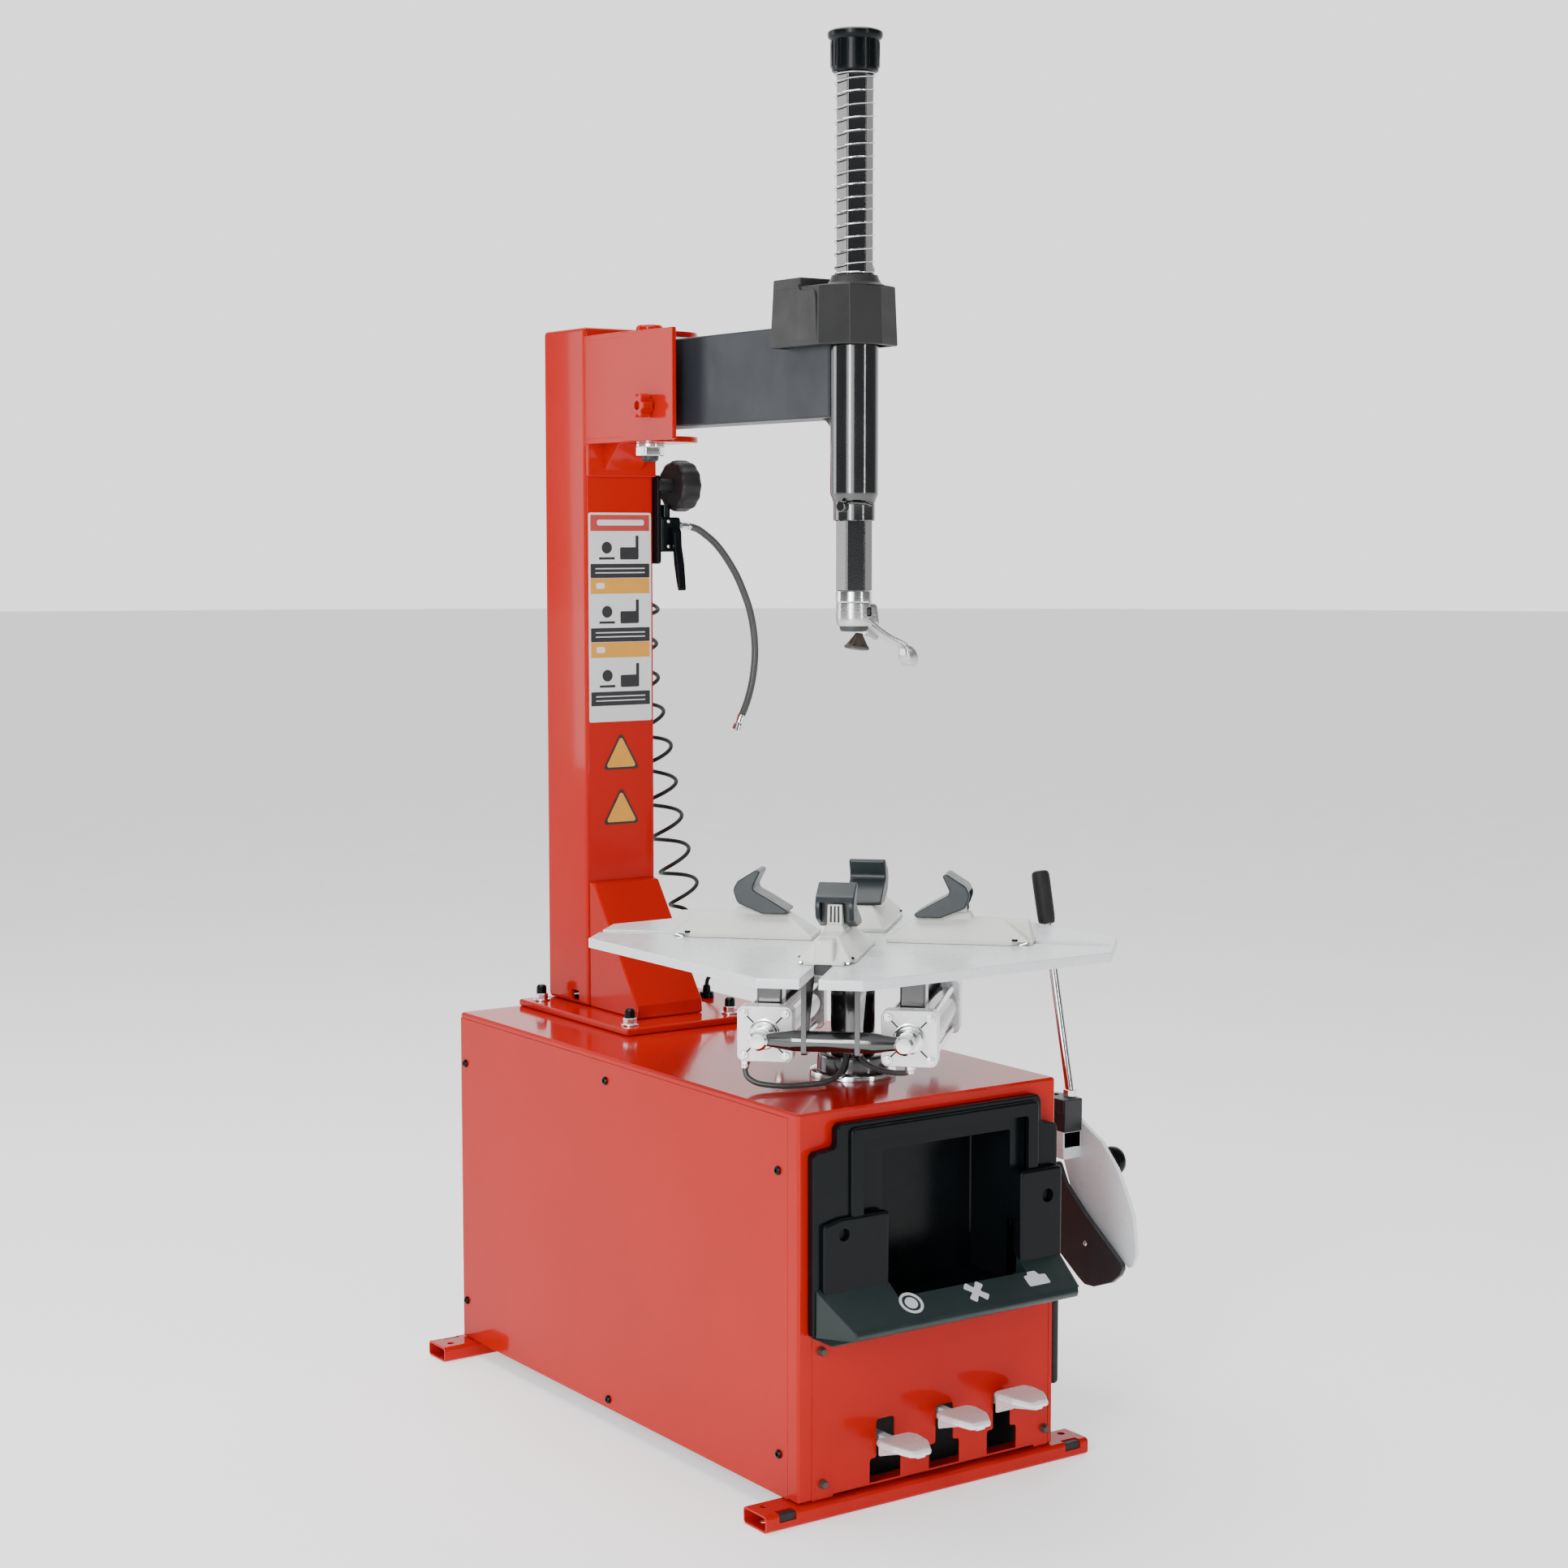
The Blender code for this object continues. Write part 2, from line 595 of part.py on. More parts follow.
def build_shaft(slide, swing):
    shaft = bar("hex_shaft", (0, TABLE_Y, HEAD_TOP + GAP), (0, TABLE_Y, CAP_LOW - GAP),
                HEX_AF / math.sqrt(3), BLACK_PAINT, sides=6)
    shaft.rotation_euler = (0, 0, HEX_TURN)
    attach(shaft, slide)
    round_edges(shaft, 0.0012, 1)
    cap_profile = ((0.0, CAP_TOP), (0.0310, CAP_TOP), (0.0345, CAP_TOP - 0.003), (0.0340, CAP_TOP - 0.0095),
                   (0.0298, CAP_TOP - 0.0135), (0.0302, CAP_LOW + 0.006), (0.0275, CAP_LOW + 0.0005),
                   (0.0270, CAP_LOW), (0.0, CAP_LOW))
    attach(turned("shaft_cap", cap_profile, (0, TABLE_Y, 0), BLACK_PLASTIC, 24), slide)
    low = COVER_TOP + SPRING_WIRE / 2 + GAP
    high = CAP_LOW - SPRING_WIRE / 2 - GAP
    per_turn = 9
    count = SPRING_TURNS * per_turn
    coil = []
    for i in range(count + 1):
        turn = 2 * math.pi * i / per_turn + HEX_TURN
        coil.append((SPRING_R * math.cos(turn), TABLE_Y + SPRING_R * math.sin(turn),
                     low + (high - low) * i / count))
    attach(tube("return_spring", coil, SPRING_WIRE, ZINC, 0), swing)
    build_head(slide)


def build_head(slide):
    """The mounting head: a clamp ring, a barrel and the curved bill that lifts the bead."""
    profile = ((0.0, HEAD_TOP), (0.0218, HEAD_TOP), (0.0222, HEAD_TOP - 0.002), (0.0222, HEAD_TOP - 0.0125),
               (0.0214, HEAD_TOP - 0.0140), (0.0222, HEAD_TOP - 0.0155), (0.0225, HEAD_TOP - 0.036),
               (0.0190, HEAD_TOP - 0.044), (0.0180, HEAD_TOP - 0.048), (0.0175, HEAD_TOP - 0.050),
               (0.0, HEAD_TOP - 0.050))
    head = turned("mount_head", profile, (0, TABLE_Y, 0), CAST, 20)
    attach(head, slide)
    z = HEAD_TOP
    bill = [(-0.004, z - 0.0200), (0.0205, z - 0.0180), (0.0225, z - 0.0400), (0.0325, z - 0.0435),
            (0.0400, z - 0.0455), (0.0420, z - 0.0550), (0.0500, z - 0.0600), (0.0600, z - 0.0700),
            (0.0650, z - 0.0745), (0.0760, z - 0.0745), (0.0850, z - 0.0768), (0.0878, z - 0.0850),
            (0.0840, z - 0.0920), (0.0775, z - 0.0960), (0.0680, z - 0.0960), (0.0632, z - 0.0895),
            (0.0547, z - 0.0775), (0.0392, z - 0.0665), (0.0186, z - 0.0565), (0.0060, z - 0.0480),
            (-0.004, z - 0.0400)]
    plate = prism("head_bill", bill, "XZ", TABLE_Y - 0.0160, TABLE_Y + 0.0160)
    # the tongue narrows towards its tip and sweeps forward round the rim
    for vert in plate.data.vertices:
        reach = max(0.0, vert.co.x - 0.018) / 0.065
        vert.co.y = TABLE_Y + (vert.co.y - TABLE_Y) * (1.0 - 0.42 * reach) - 0.012 * reach
    join(head, plate)
    roller = turned("head_roller", ((0.0, 0.0115), (0.0060, 0.0110), (0.0120, 0.0040), (0.0175, -0.0020),
                                    (0.0175, -0.0060), (0.0090, -0.0085), (0.0, -0.0085)),
                    (0.009, TABLE_Y + 0.003, z - 0.0655), BLACK_PLASTIC, 20)
    roller.rotation_euler = (0, math.radians(8), 0)
    attach(roller, slide)
    cut(
        head,
        bar("head_screw_hole", (0.006, TABLE_Y - 0.03, z - 0.026), (0.006, TABLE_Y - 0.010, z - 0.026),
            0.0048, sides=16),
        turned("roller_room", ((0.0, 0.0125), (0.0068, 0.0118), (0.0128, 0.0048), (0.0183, -0.0015),
                               (0.0183, -0.0300), (0.0, -0.0300)), (0.009, TABLE_Y + 0.003, z - 0.0655),
                               None, 20,
               (0, math.radians(8), 0)),
    )


# ---------------------------------------------------------------- turntable

def build_table(table, bar_axis, jaw_axes):
    """Built square to the joint empties, whose +X points out along a tip of the table."""
    short = TABLE_TIP * math.sqrt(2) - TABLE_FLAT
    corners = [(TABLE_FLAT, short), (short, TABLE_FLAT)]
    plan = []
    for quarter in range(4):
        c, s = ((1, 0), (0, 1), (-1, 0), (0, -1))[quarter]
        for x, y in corners:
            plan.append((c * x - s * y, TABLE_Y + s * x + c * y))
    plate = prism("turntable", plan, "XY", TABLE_TOP - TABLE_T, TABLE_TOP, SILVER)
    attach(plate, table)
    round_edges(plate, 0.0012, 1)
    for index in range(4):
        slot = [(TABLE_TIP + 0.02, -SLOT_W / 2), (TABLE_TIP + 0.02, SLOT_W / 2),
                *arc((SLOT_FROM + SLOT_W / 2, 0), SLOT_W / 2, 90, 270, 8)]
        turn = math.radians(225 + 90 * index)
        placed = [(x * math.cos(turn) - y * math.sin(turn),
                   TABLE_Y + x * math.sin(turn) + y * math.cos(turn))
                  for x, y in slot]
        cut(plate, prism(f"table_slot_{index + 1}", placed, "XY", TABLE_TOP - 0.03, TABLE_TOP + 0.01))
    hub = turned("turntable_hub", ((0.0, TABLE_TOP - TABLE_T - GAP), (0.055, TABLE_TOP - TABLE_T - GAP),
                                   (0.055, TABLE_TOP - TABLE_T - 0.008), (HUB_R + 0.004,
                                                                          TABLE_TOP - TABLE_T - 0.011),
                                   (HUB_R, TABLE_TOP - TABLE_T - 0.016), (HUB_R, 0.440), (0.0, 0.440)),
                 (0, TABLE_Y, 0), BLACK_PAINT, 24)
    attach(hub, table)
    for name, side in (("left", -CYL_OFF), ("right", CYL_OFF)):
        build_clamp_cylinder(name, side, table)
    build_crossbar(bar_axis)
    for index, jaw in enumerate(jaw_axes, 1):
        build_jaw(index, jaw)


def along_tip(turn_degrees):
    """Matrix from a piece laid out along +X at the world's middle to the table's place."""
    return Matrix.Translation((0, TABLE_Y, 0)) @ Matrix.Rotation(math.radians(turn_degrees), 4, "Z")


def lay(obj, turn_degrees):
    """Turns a piece, and the tools cut from or joined to it, from +X to a direction on the table."""
    tools = [m.object for m in obj.modifiers if m.type == "BOOLEAN"]
    for piece in (obj, *tools):
        euler = piece.rotation_euler.to_matrix().to_4x4()
        placed = along_tip(turn_degrees) @ Matrix.Translation(piece.location) @ euler
        piece.location = placed.to_translation()
        piece.rotation_euler = placed.to_euler()


def build_clamp_cylinder(name, side, table):
    """A pneumatic cylinder under the table; +X is towards the operator's left front."""
    half = CYL_SIDE / 2
    front = -CYL_FRONT
    back = -CYL_BACK
    cap = 0.024
    body = block(f"clamp_cylinder_{name}", (back + cap - 0.001, side - half + 0.0035,
                                            CYL_Z - half + 0.0035),
                 (front - cap + 0.001, side + half - 0.0035, CYL_Z + half - 0.0035), BLACK_PAINT)
    attach(body, table)
    round_edges(body, 0.006, 1)
    join(
        body,
        block(f"front_cap_{name}", (front - cap, side - half, CYL_Z - half), (front, side + half,
                                                                              CYL_Z + half)),
        block(f"back_cap_{name}", (back, side - half, CYL_Z - half), (back + cap, side + half,
                                                                      CYL_Z + half)),
        block(f"front_hanger_{name}", (front - 0.060, side - 0.016, CYL_Z + half - 0.006),
              (front - 0.030, side + 0.016, TABLE_TOP - TABLE_T - GAP)),
        block(f"back_hanger_{name}", (back + 0.030, side - 0.016, CYL_Z + half - 0.006),
              (back + 0.060, side + 0.016, TABLE_TOP - TABLE_T - GAP)),
        bar(f"rod_gland_{name}", (front - 0.001, side, CYL_Z), (front + 0.007, side, CYL_Z), 0.017,
            sides=20),
    )
    cut(body, bar(f"rod_bore_{name}", (back + 0.012, side, CYL_Z), (front + 0.05, side, CYL_Z),
                  ROD_R + RUNNING, sides=16))
    lay(body, 225)


def build_crossbar(bar_axis):
    """The link bar with the two piston rods and the two drop plates to the front jaw's slide."""
    at = -BAR_AT
    half = CYL_OFF
    end = half + 0.004
    link = turned("clamp_crossbar", ((0.0, end), (0.0065, end), (0.0125, 0.052), (0.0125, -0.052),
                                     (0.0065, -end),
                                     (0.0, -end)), (at, 0, CYL_Z), BLACK_PAINT, 16, (math.pi / 2, 0, 0))
    attach(link, bar_axis)
    for name, side in (("left", -half), ("right", half)):
        join(link, bar(f"piston_rod_{name}", (0.005, side, CYL_Z), (at + 0.016, side, CYL_Z), ROD_R,
                       sides=16))
    for name, side in (("left", -0.0365), ("right", 0.0295)):
        plate = ((at + 0.011, CYL_Z - 0.016), (at + 0.011, TABLE_TOP - TABLE_T - 0.002),
                 (at - 0.045, TABLE_TOP - TABLE_T - 0.002), (at - 0.045, TABLE_TOP - TABLE_T - 0.022),
                 (at - 0.012, CYL_Z + 0.018), (at - 0.011, CYL_Z - 0.016))
        join(link, prism(f"drop_plate_{name}", plate, "XZ", side, side + 0.007))
    join(link, block("drop_bridge", (at - 0.043, -0.0330, TABLE_TOP - TABLE_T - 0.010),
                     (at - 0.016, 0.0330, TABLE_TOP - TABLE_T - 0.003)))
    lay(link, 225)


def build_jaw(index, jaw):
    """A sliding carriage with its key in the slot, and the plastic-faced hook on it."""
    low = TABLE_TOP + GAP
    carriage = block(f"jaw_carriage_{index}", (0.048, -0.0345, low + 0.005), (0.230, 0.0345, low + 0.030),
                     SILVER,
                     taper=(0.70, 0.36))
    attach(carriage, jaw)
    round_edges(carriage, 0.0015, 1, 50)
    join(
        carriage,
        block(f"carriage_foot_{index}", (0.047, -0.0355, low), (0.231, 0.0355, low + 0.0055)),
        block(f"slide_key_{index}", (0.086, -SLOT_W / 2 + RUNNING, TABLE_TOP - TABLE_T + 0.001),
              (0.215, SLOT_W / 2 - RUNNING, low + 0.001)),
        block(f"jaw_post_{index}", (JAW_R - 0.030, -0.0115, low + 0.020), (JAW_R - 0.002, 0.0115,
                                                                           low + 0.068),
              taper=(0.55, 0.9)),
    )
    base = low + 0.0305
    hook = [(JAW_R - 0.070, base + 0.004), (JAW_R - 0.066, base), (JAW_R - 0.036, base), (JAW_R - 0.004,
                                                                                          base + 0.013),
            (JAW_R + 0.002, base + 0.030), (JAW_R - 0.004, base + 0.041), (JAW_R - 0.028, base + 0.056),
            (JAW_R - 0.034, base + 0.054), (JAW_R - 0.023, base + 0.031), (JAW_R - 0.050, base + 0.016)]
    cover = prism(f"jaw_hook_{index}", hook, "XZ", -0.024, 0.024, GREY_PLASTIC)
    attach(cover, jaw)
    round_edges(cover, 0.0020, 1, 30)
    cut(cover, block(f"hook_room_{index}", (JAW_R - 0.0315, -0.0118, low), (JAW_R + 0.02, 0.0118,
                                                                            low + 0.0690)))
    turn = 225 + 90 * (index - 1)
    lay(carriage, turn)
    lay(cover, turn)


def build_drive(frame, motor_axis, worm_axis):
    """Inside the cabinet: bearing flange, worm gearbox, motor, belt and pulleys."""
    flange = ((0.0, CAB_TOP + 0.030), (0.0400, CAB_TOP + 0.030), (0.0450, CAB_TOP + 0.027),
              (0.0460, CAB_TOP + 0.006), (0.0560, CAB_TOP + 0.005), (0.0560, CAB_TOP + GAP),
              (0.0, CAB_TOP + GAP))
    ring = turned("table_flange", flange, (0, TABLE_Y, 0), BLACK_PAINT, 24)
    attach(ring, frame)
    cut(ring, bar("flange_bore", (0, TABLE_Y, 0.45), (0, TABLE_Y, 0.60), HUB_R + RUNNING, sides=16))
    top = CAB_TOP - SHEET - GAP
    gearbox = block("drive_gearbox", (-0.080, -0.3420, 0.310), (0.080, -0.182, top), GREY_PAINT)
    attach(gearbox, frame)
    round_edges(gearbox, 0.008, 1)
    cut(gearbox, bar("gearbox_bore", (0, TABLE_Y, 0.43), (0, TABLE_Y, 0.60), HUB_R + RUNNING, sides=16))
    join(gearbox, bar("worm_nose", (-0.0999, -0.205, 0.350), (-0.070, -0.205, 0.350), 0.028, sides=16))
    motor_y, motor_z = -0.010, 0.240
    motor = bar("drive_motor", (-0.095, motor_y, motor_z), (0.110, motor_y, motor_z), 0.066, GREY_PAINT, 24)
    attach(motor, frame)
    round_edges(motor, 0.005, 1)
    join(motor, block("terminal_box", (-0.04, motor_y - 0.035, motor_z + 0.050), (0.05, motor_y + 0.035,
                                                                                  motor_z + 0.092)))
    cut(motor, bar("motor_bore", (-0.12, motor_y, motor_z), (-0.060, motor_y, motor_z), 0.0085, sides=16))
    cut(gearbox, bar("worm_bore", (-0.12, -0.205, 0.350), (-0.060, -0.205, 0.350), 0.0085, sides=16))
    for name, axis, y, z, radius in (("motor_pulley", motor_axis, motor_y, motor_z, 0.028),
                                     ("worm_pulley", worm_axis, -0.205, 0.350, 0.050)):
        pulley = bar(name, (-0.122, y, z), (-0.104, y, z), radius, CAST, 20)
        attach(pulley, axis)
        join(pulley, bar(name + "_shaft", (-0.110, y, z), (-0.062, y, z), 0.008, sides=16))
    build_belt(frame, (motor_y, motor_z, 0.028), (-0.205, 0.350, 0.050))


def build_belt(frame, small, large):
    """A flat belt round two pulleys, each given as (y, z, radius)."""
    dy, dz = small[0] - large[0], small[1] - large[1]
    reach = math.hypot(dy, dz)
    heading = math.degrees(math.atan2(dz, dy))

    def loop(extra):
        wrap = math.degrees(math.acos((large[2] - small[2]) / reach))
        around_small = arc(small[:2], small[2] + extra, heading - wrap, heading + wrap, 9)
        around_large = arc(large[:2], large[2] + extra, heading + wrap, heading + 360 - wrap, 12)
        return around_small + around_large

    belt = prism("drive_belt", loop(0.0045), "YZ", -0.120, -0.106, RUBBER)
    attach(belt, frame)
    cut(belt, prism("belt_inside", loop(0.0008), "YZ", -0.13, -0.09))


# ---------------------------------------------------------------- bead breaker

def build_breaker(frame, rod, swing, blade):
    """Pad, hinge and air cylinder on the cabinet; arm, blade and handle that swing out."""
    side = CAB_W / 2
    pad = block("rubber_support_pad", (side + GAP, -0.4245, 0.098), (side + 0.0125, -0.120, 0.330), RUBBER)
    attach(pad, frame)
    round_edges(pad, 0.004, 1)
    hinge_x, hinge_y = BREAKER_HINGE
    low, high = BREAKER_Z - 0.048, BREAKER_Z + 0.048
    bracket = block("breaker_hinge", (side + GAP, hinge_y - 0.035, low), (side + 0.008, hinge_y + 0.035,
                                                                          high), RED)
    attach(bracket, frame)
    ear = [(side + 0.002, hinge_y - 0.028), (hinge_x, hinge_y - 0.022), *arc((hinge_x, hinge_y), 0.022,
                                                                             -90, 90, 8),
           (side + 0.002, hinge_y + 0.028)]
    join(
        bracket,
        prism("hinge_ear_low", ear, "XY", low, low + 0.010),
        prism("hinge_ear_high", ear, "XY", high - 0.010, high),
        bar("hinge_pin", (hinge_x, hinge_y, low - 0.004), (hinge_x, hinge_y, high + 0.004), 0.009,
            sides=20),
    )
    cylinder = bar("breaker_cylinder", (-0.165, BREAKER_CYL_Y, BREAKER_Z), (0.085, BREAKER_CYL_Y,
                                                                            BREAKER_Z),
                   0.088, CAST, 20)
    attach(cylinder, frame)
    cut(cylinder, bar("cylinder_bore", (-0.10, BREAKER_CYL_Y, BREAKER_Z), (0.2, BREAKER_CYL_Y, BREAKER_Z),
                      0.0125, sides=16))
    attach(bar("breaker_rod", (-0.050, BREAKER_CYL_Y, BREAKER_Z), (0.2475, BREAKER_CYL_Y, BREAKER_Z), 0.012,
               STEEL, 24), rod)
    tip_x, tip_y = BREAKER_TIP
    run = Vector((tip_x - hinge_x, tip_y - hinge_y, 0))
    along = run.normalized()
    first, last = 0.020, run.length - 0.022
    arm = block("breaker_arm", (first, -0.025, BREAKER_Z - 0.033), (last, 0.025, BREAKER_Z + 0.033),
                BLACK_PAINT)
    round_edges(arm, 0.003, 1)
    arm.location = Vector((hinge_x, hinge_y, BREAKER_Z)) + along * ((first + last) / 2)
    arm.rotation_euler = (0, 0, math.atan2(run.y, run.x))
    attach(arm, swing)
    across = Vector((-along.y, along.x, 0))
    pin = Vector((tip_x, tip_y, 0))
    root = pin - along * 0.026
    tongue = [tuple((root + across * side).xy) for side in (0.012, -0.012)]
    start = math.degrees(math.atan2(-across.y, -across.x))
    tongue += arc((tip_x, tip_y), 0.0105, start, start + 180, 8)
    join(
        arm,
        bar("arm_hub", (hinge_x, hinge_y, low + 0.0105), (hinge_x, hinge_y, high - 0.0105), 0.024),
        prism("arm_tongue", tongue, "XY", BREAKER_Z - 0.012, BREAKER_Z + 0.012),
        bar("blade_pin", (tip_x, tip_y, BREAKER_Z - 0.030), (tip_x, tip_y, BREAKER_Z + 0.030), 0.006,
            sides=20),
    )
    cut(arm, bar("arm_hub_bore", (hinge_x, hinge_y, 0.3), (hinge_x, hinge_y, 0.5), 0.0095, sides=16))
    build_blade(blade)


def build_blade(blade):
    """The shovel, a bright curved cheek with a dark blade inside it, and its long handle."""
    cheek = [(-0.2160, 0.4225), (-0.2300, 0.4140), (-0.2455, 0.3995), (-0.2700, 0.3860), (-0.3025, 0.3700),
             (-0.3340, 0.3390), (-0.3560, 0.3040), (-0.3680, 0.2780), (-0.3750, 0.2300), (-0.3690, 0.2120),
             (-0.3610, 0.2070), (-0.3280, 0.2230), (-0.2780, 0.2560), (-0.2400, 0.2940), (-0.2160, 0.3500)]
    shovel = prism("breaker_blade", cheek, "YZ", 0.3865, 0.3925, SILVER)
    attach(shovel, blade)
    dark = [(-0.2275, 0.3500), (-0.2520, 0.3050), (-0.2920, 0.2720), (-0.3600, 0.2240), (-0.3720, 0.2150),
            (-0.3640, 0.2010), (-0.3480, 0.1880), (-0.3130, 0.1745), (-0.2940, 0.1735), (-0.2800, 0.1810),
            (-0.2320, 0.2130), (-0.2275, 0.2300)]
    pin_x, pin_y = BREAKER_TIP
    fork = [(pin_x - 0.0160, -0.2600), (pin_x + 0.0160, -0.2600), *arc((pin_x, pin_y), 0.0165, 0, 180, 10)]
    join(
        shovel,
        prism("inner_blade", dark, "YZ", 0.3660, 0.3740),
        bar("blade_spacer", (0.3700, -0.2980, 0.2350), (0.3880, -0.2980, 0.2350), 0.007, sides=16),
        block("blade_web", (pin_x - 0.0150, -0.2620, 0.3300), (0.3880, -0.2400, BREAKER_Z + 0.0320)),
        prism("fork_low", fork, "XY", BREAKER_Z - 0.0350, BREAKER_Z - 0.0125),
        prism("fork_high", fork, "XY", BREAKER_Z + 0.0125, BREAKER_Z + 0.0325),
    )
    cut(shovel, bar("fork_bore", (pin_x, pin_y, 0.3), (pin_x, pin_y, 0.5), 0.0065, sides=16))
    rod_x = pin_x + 0.0085
    rod_z = BREAKER_Z + 0.0325 + GAP
    handle = bar("breaker_handle", (rod_x, -0.2450, rod_z + 0.003), (rod_x, -0.1930, 0.6560), 0.0060,
                 STEEL, 16)
    attach(handle, blade)
    join(
        handle,
        bar("handle_grip", (rod_x, -0.1955, 0.6540), (rod_x, -0.1865, 0.7270), 0.0125, sides=20),
        bar("handle_foot", (rod_x, -0.2450, rod_z), (rod_x, -0.2450, rod_z + 0.012), 0.0095, sides=20),
    )
    knob = turned("breaker_knob", ((0.0, 0.018), (0.0120, 0.0178), (0.0170, 0.0155), (0.0200, 0.0110),
                                   (0.0205, 0.004),
                                   (0.0150, 0.0), (0.0, 0.0)), (0.3928, -0.3120, 0.3430), BLACK_PLASTIC, 20)
    knob.rotation_euler = (0, math.radians(90), 0)
    attach(knob, blade)


# ---------------------------------------------------------------- pedals

def build_pedals(frame, axes):
    shaft_y, shaft_z = PEDAL_SHAFT
    shaft = bar("pedal_shaft", (-0.150, shaft_y, shaft_z), (0.170, shaft_y, shaft_z), 0.008, STEEL, 20)
    attach(shaft, frame)
    for index, (axis, x, z) in enumerate(zip(axes, PEDAL_X, PEDAL_Z), 1):
        top = min(z + 0.001, 0.1035)
        lever = ((shaft_y + 0.004, shaft_z - 0.011), (shaft_y + 0.004, shaft_z + 0.011), (-0.400, top),
                 (-0.434, top), (-0.444, z + 0.001), (-0.500, z + 0.001), (-0.500, z - 0.008),
                 (-0.440, top - 0.014), (-0.400, top - 0.016))
        pedal = prism(f"pedal_{index}", lever, "YZ", x - 0.006, x + 0.006, CAST)
        attach(pedal, axis)
        pad = [(x + 0.028, -0.4420), *arc((x + 0.018, -0.4620), 0.0220, 40, -40, 3), (x + 0.012, -0.5020),
               (x - 0.012, -0.5020), *arc((x - 0.018, -0.4620), 0.0220, 220, 140, 3), (x - 0.028, -0.4420)]
        plate = prism(f"pedal_pad_{index}", pad, "XY", z - 0.004, z + 0.006)
        join(pedal, bar(f"pedal_hub_{index}", (x - 0.012, shaft_y, shaft_z), (x + 0.012, shaft_y, shaft_z),
                        0.015, sides=20),
             round_edges(plate, 0.002, 1))
        cut(pedal, bar(f"pedal_bore_{index}", (x - 0.03, shaft_y, shaft_z), (x + 0.03, shaft_y, shaft_z),
                       0.0085, sides=16))


# ---------------------------------------------------------------- inflator

def build_inflator(frame, trigger):
    wall = COL / 2 + GAP
    gx, gy, gz = GAUGE_AT
    body = block("inflator_body", (wall, 0.2950, 1.1450), (wall + 0.005, 0.3480, 1.2720), BLACK_PLASTIC)
    attach(body, frame)
    join(
        body,
        block("inflator_valve", (wall + 0.004, 0.2920, 1.1620), (wall + 0.0380, 0.3200, 1.2120)),
        bar("hose_union", (wall + 0.030, 0.3000, 1.1990), (0.1125, 0.3000, 1.1990), 0.0062, sides=16),
        bar("gauge_stem", (0.0780, 0.3070, 1.2050), (0.0780, 0.3070, 1.2300), 0.0070, sides=16),
        bar("supply_union", (0.0850, 0.3190, 1.1700), (0.0850, 0.3500, 1.1700), 0.0060, sides=16),
    )
    gauge = turned("pressure_gauge", ((0.0, 0.0310), (0.0300, 0.0310), (0.0335, 0.0320), (GAUGE_R, 0.0290),
                                      (GAUGE_R, 0.0050), (0.0330, 0.0), (0.0, 0.0)), (0.0865, gy, gz),
                                      BLACK_PLASTIC, 24)
    gauge.rotation_euler = (0, math.radians(90), 0)
    attach(gauge, frame)
    cut(gauge, bar("stem_room", (0.0780, 0.3070, 1.20), (0.0780, 0.3070, 1.2305), 0.0075, sides=16))
    join(gauge, bar("gauge_neck", (0.0632, gy, gz), (0.0880, gy, gz), 0.010, sides=16))
    grip = [(0.2890, 1.1965), (0.2835, 1.1975), (0.2800, 1.1900), (0.2790, 1.1700), (0.2725, 1.1450),
            (0.2700, 1.1250), (0.2680, 1.1080), (0.2720, 1.1060), (0.2775, 1.1220), (0.2830, 1.1450),
            (0.2850, 1.1620), (0.2885, 1.1800)]
    handle = prism("inflator_trigger", grip, "YZ", 0.0770, 0.0890, BLACK_PLASTIC)
    attach(handle, trigger)
    round_edges(handle, 0.0015, 1)
    hose = smooth_route(HOSE_ROUTE, 0.022)
    attach(tube("inflator_hose", hose, HOSE_D, RUBBER, 2), frame)
    tip = Vector(HOSE_ROUTE[-1])
    heading = (tip - Vector(HOSE_ROUTE[-2])).normalized()
    start = tip + heading * GAP
    chuck = bar("air_chuck", start, start + heading * 0.014, 0.0072, ZINC, 20, end_radius=0.0066)
    attach(chuck, frame)
    join(chuck, bar("chuck_head", start + heading * 0.0135, start + heading * 0.026, 0.0078, sides=16))
    build_coil(frame)


def build_coil(frame):
    """The curly supply hose, as a tube of its outer size, its straight lead and the grommet."""
    coil = smooth_route(COIL_ROUTE, 0.05)
    attach(tube("coiled_air_hose", coil, 2 * COIL_R, RUBBER, 2), frame)
    lead = smooth_route(LEAD_ROUTE, 0.013)
    attach(tube("air_hose_lead", lead, LEAD_D, RUBBER, 2), frame)
    feed = smooth_route(((0.0850, 0.3504, 1.1700), (0.0865, 0.3640, 1.1700), (0.0895, 0.3800, 1.1660),
                         (0.0940, 0.3930, 1.1560), (0.0975, 0.4010, 1.1420), (0.1000, 0.4035, 1.1270),
                         (0.1000, 0.4040, 1.1104)), 0.013)
    attach(tube("air_hose_feed", feed, LEAD_D, RUBBER, 2), frame)
    profile = ((0.0, 0.0192), (0.0050, 0.0190), (0.0060, 0.0100), (0.0110, 0.0090), (0.0110, GAP),
               (0.0060, GAP),
               (0.0060, -0.0080), (0.0, -0.0080))
    attach(turned("hose_grommet", profile, (*GROMMET_AT, CAB_TOP), BLACK_PLASTIC, 20), frame)


# ---------------------------------------------------------------- assembly

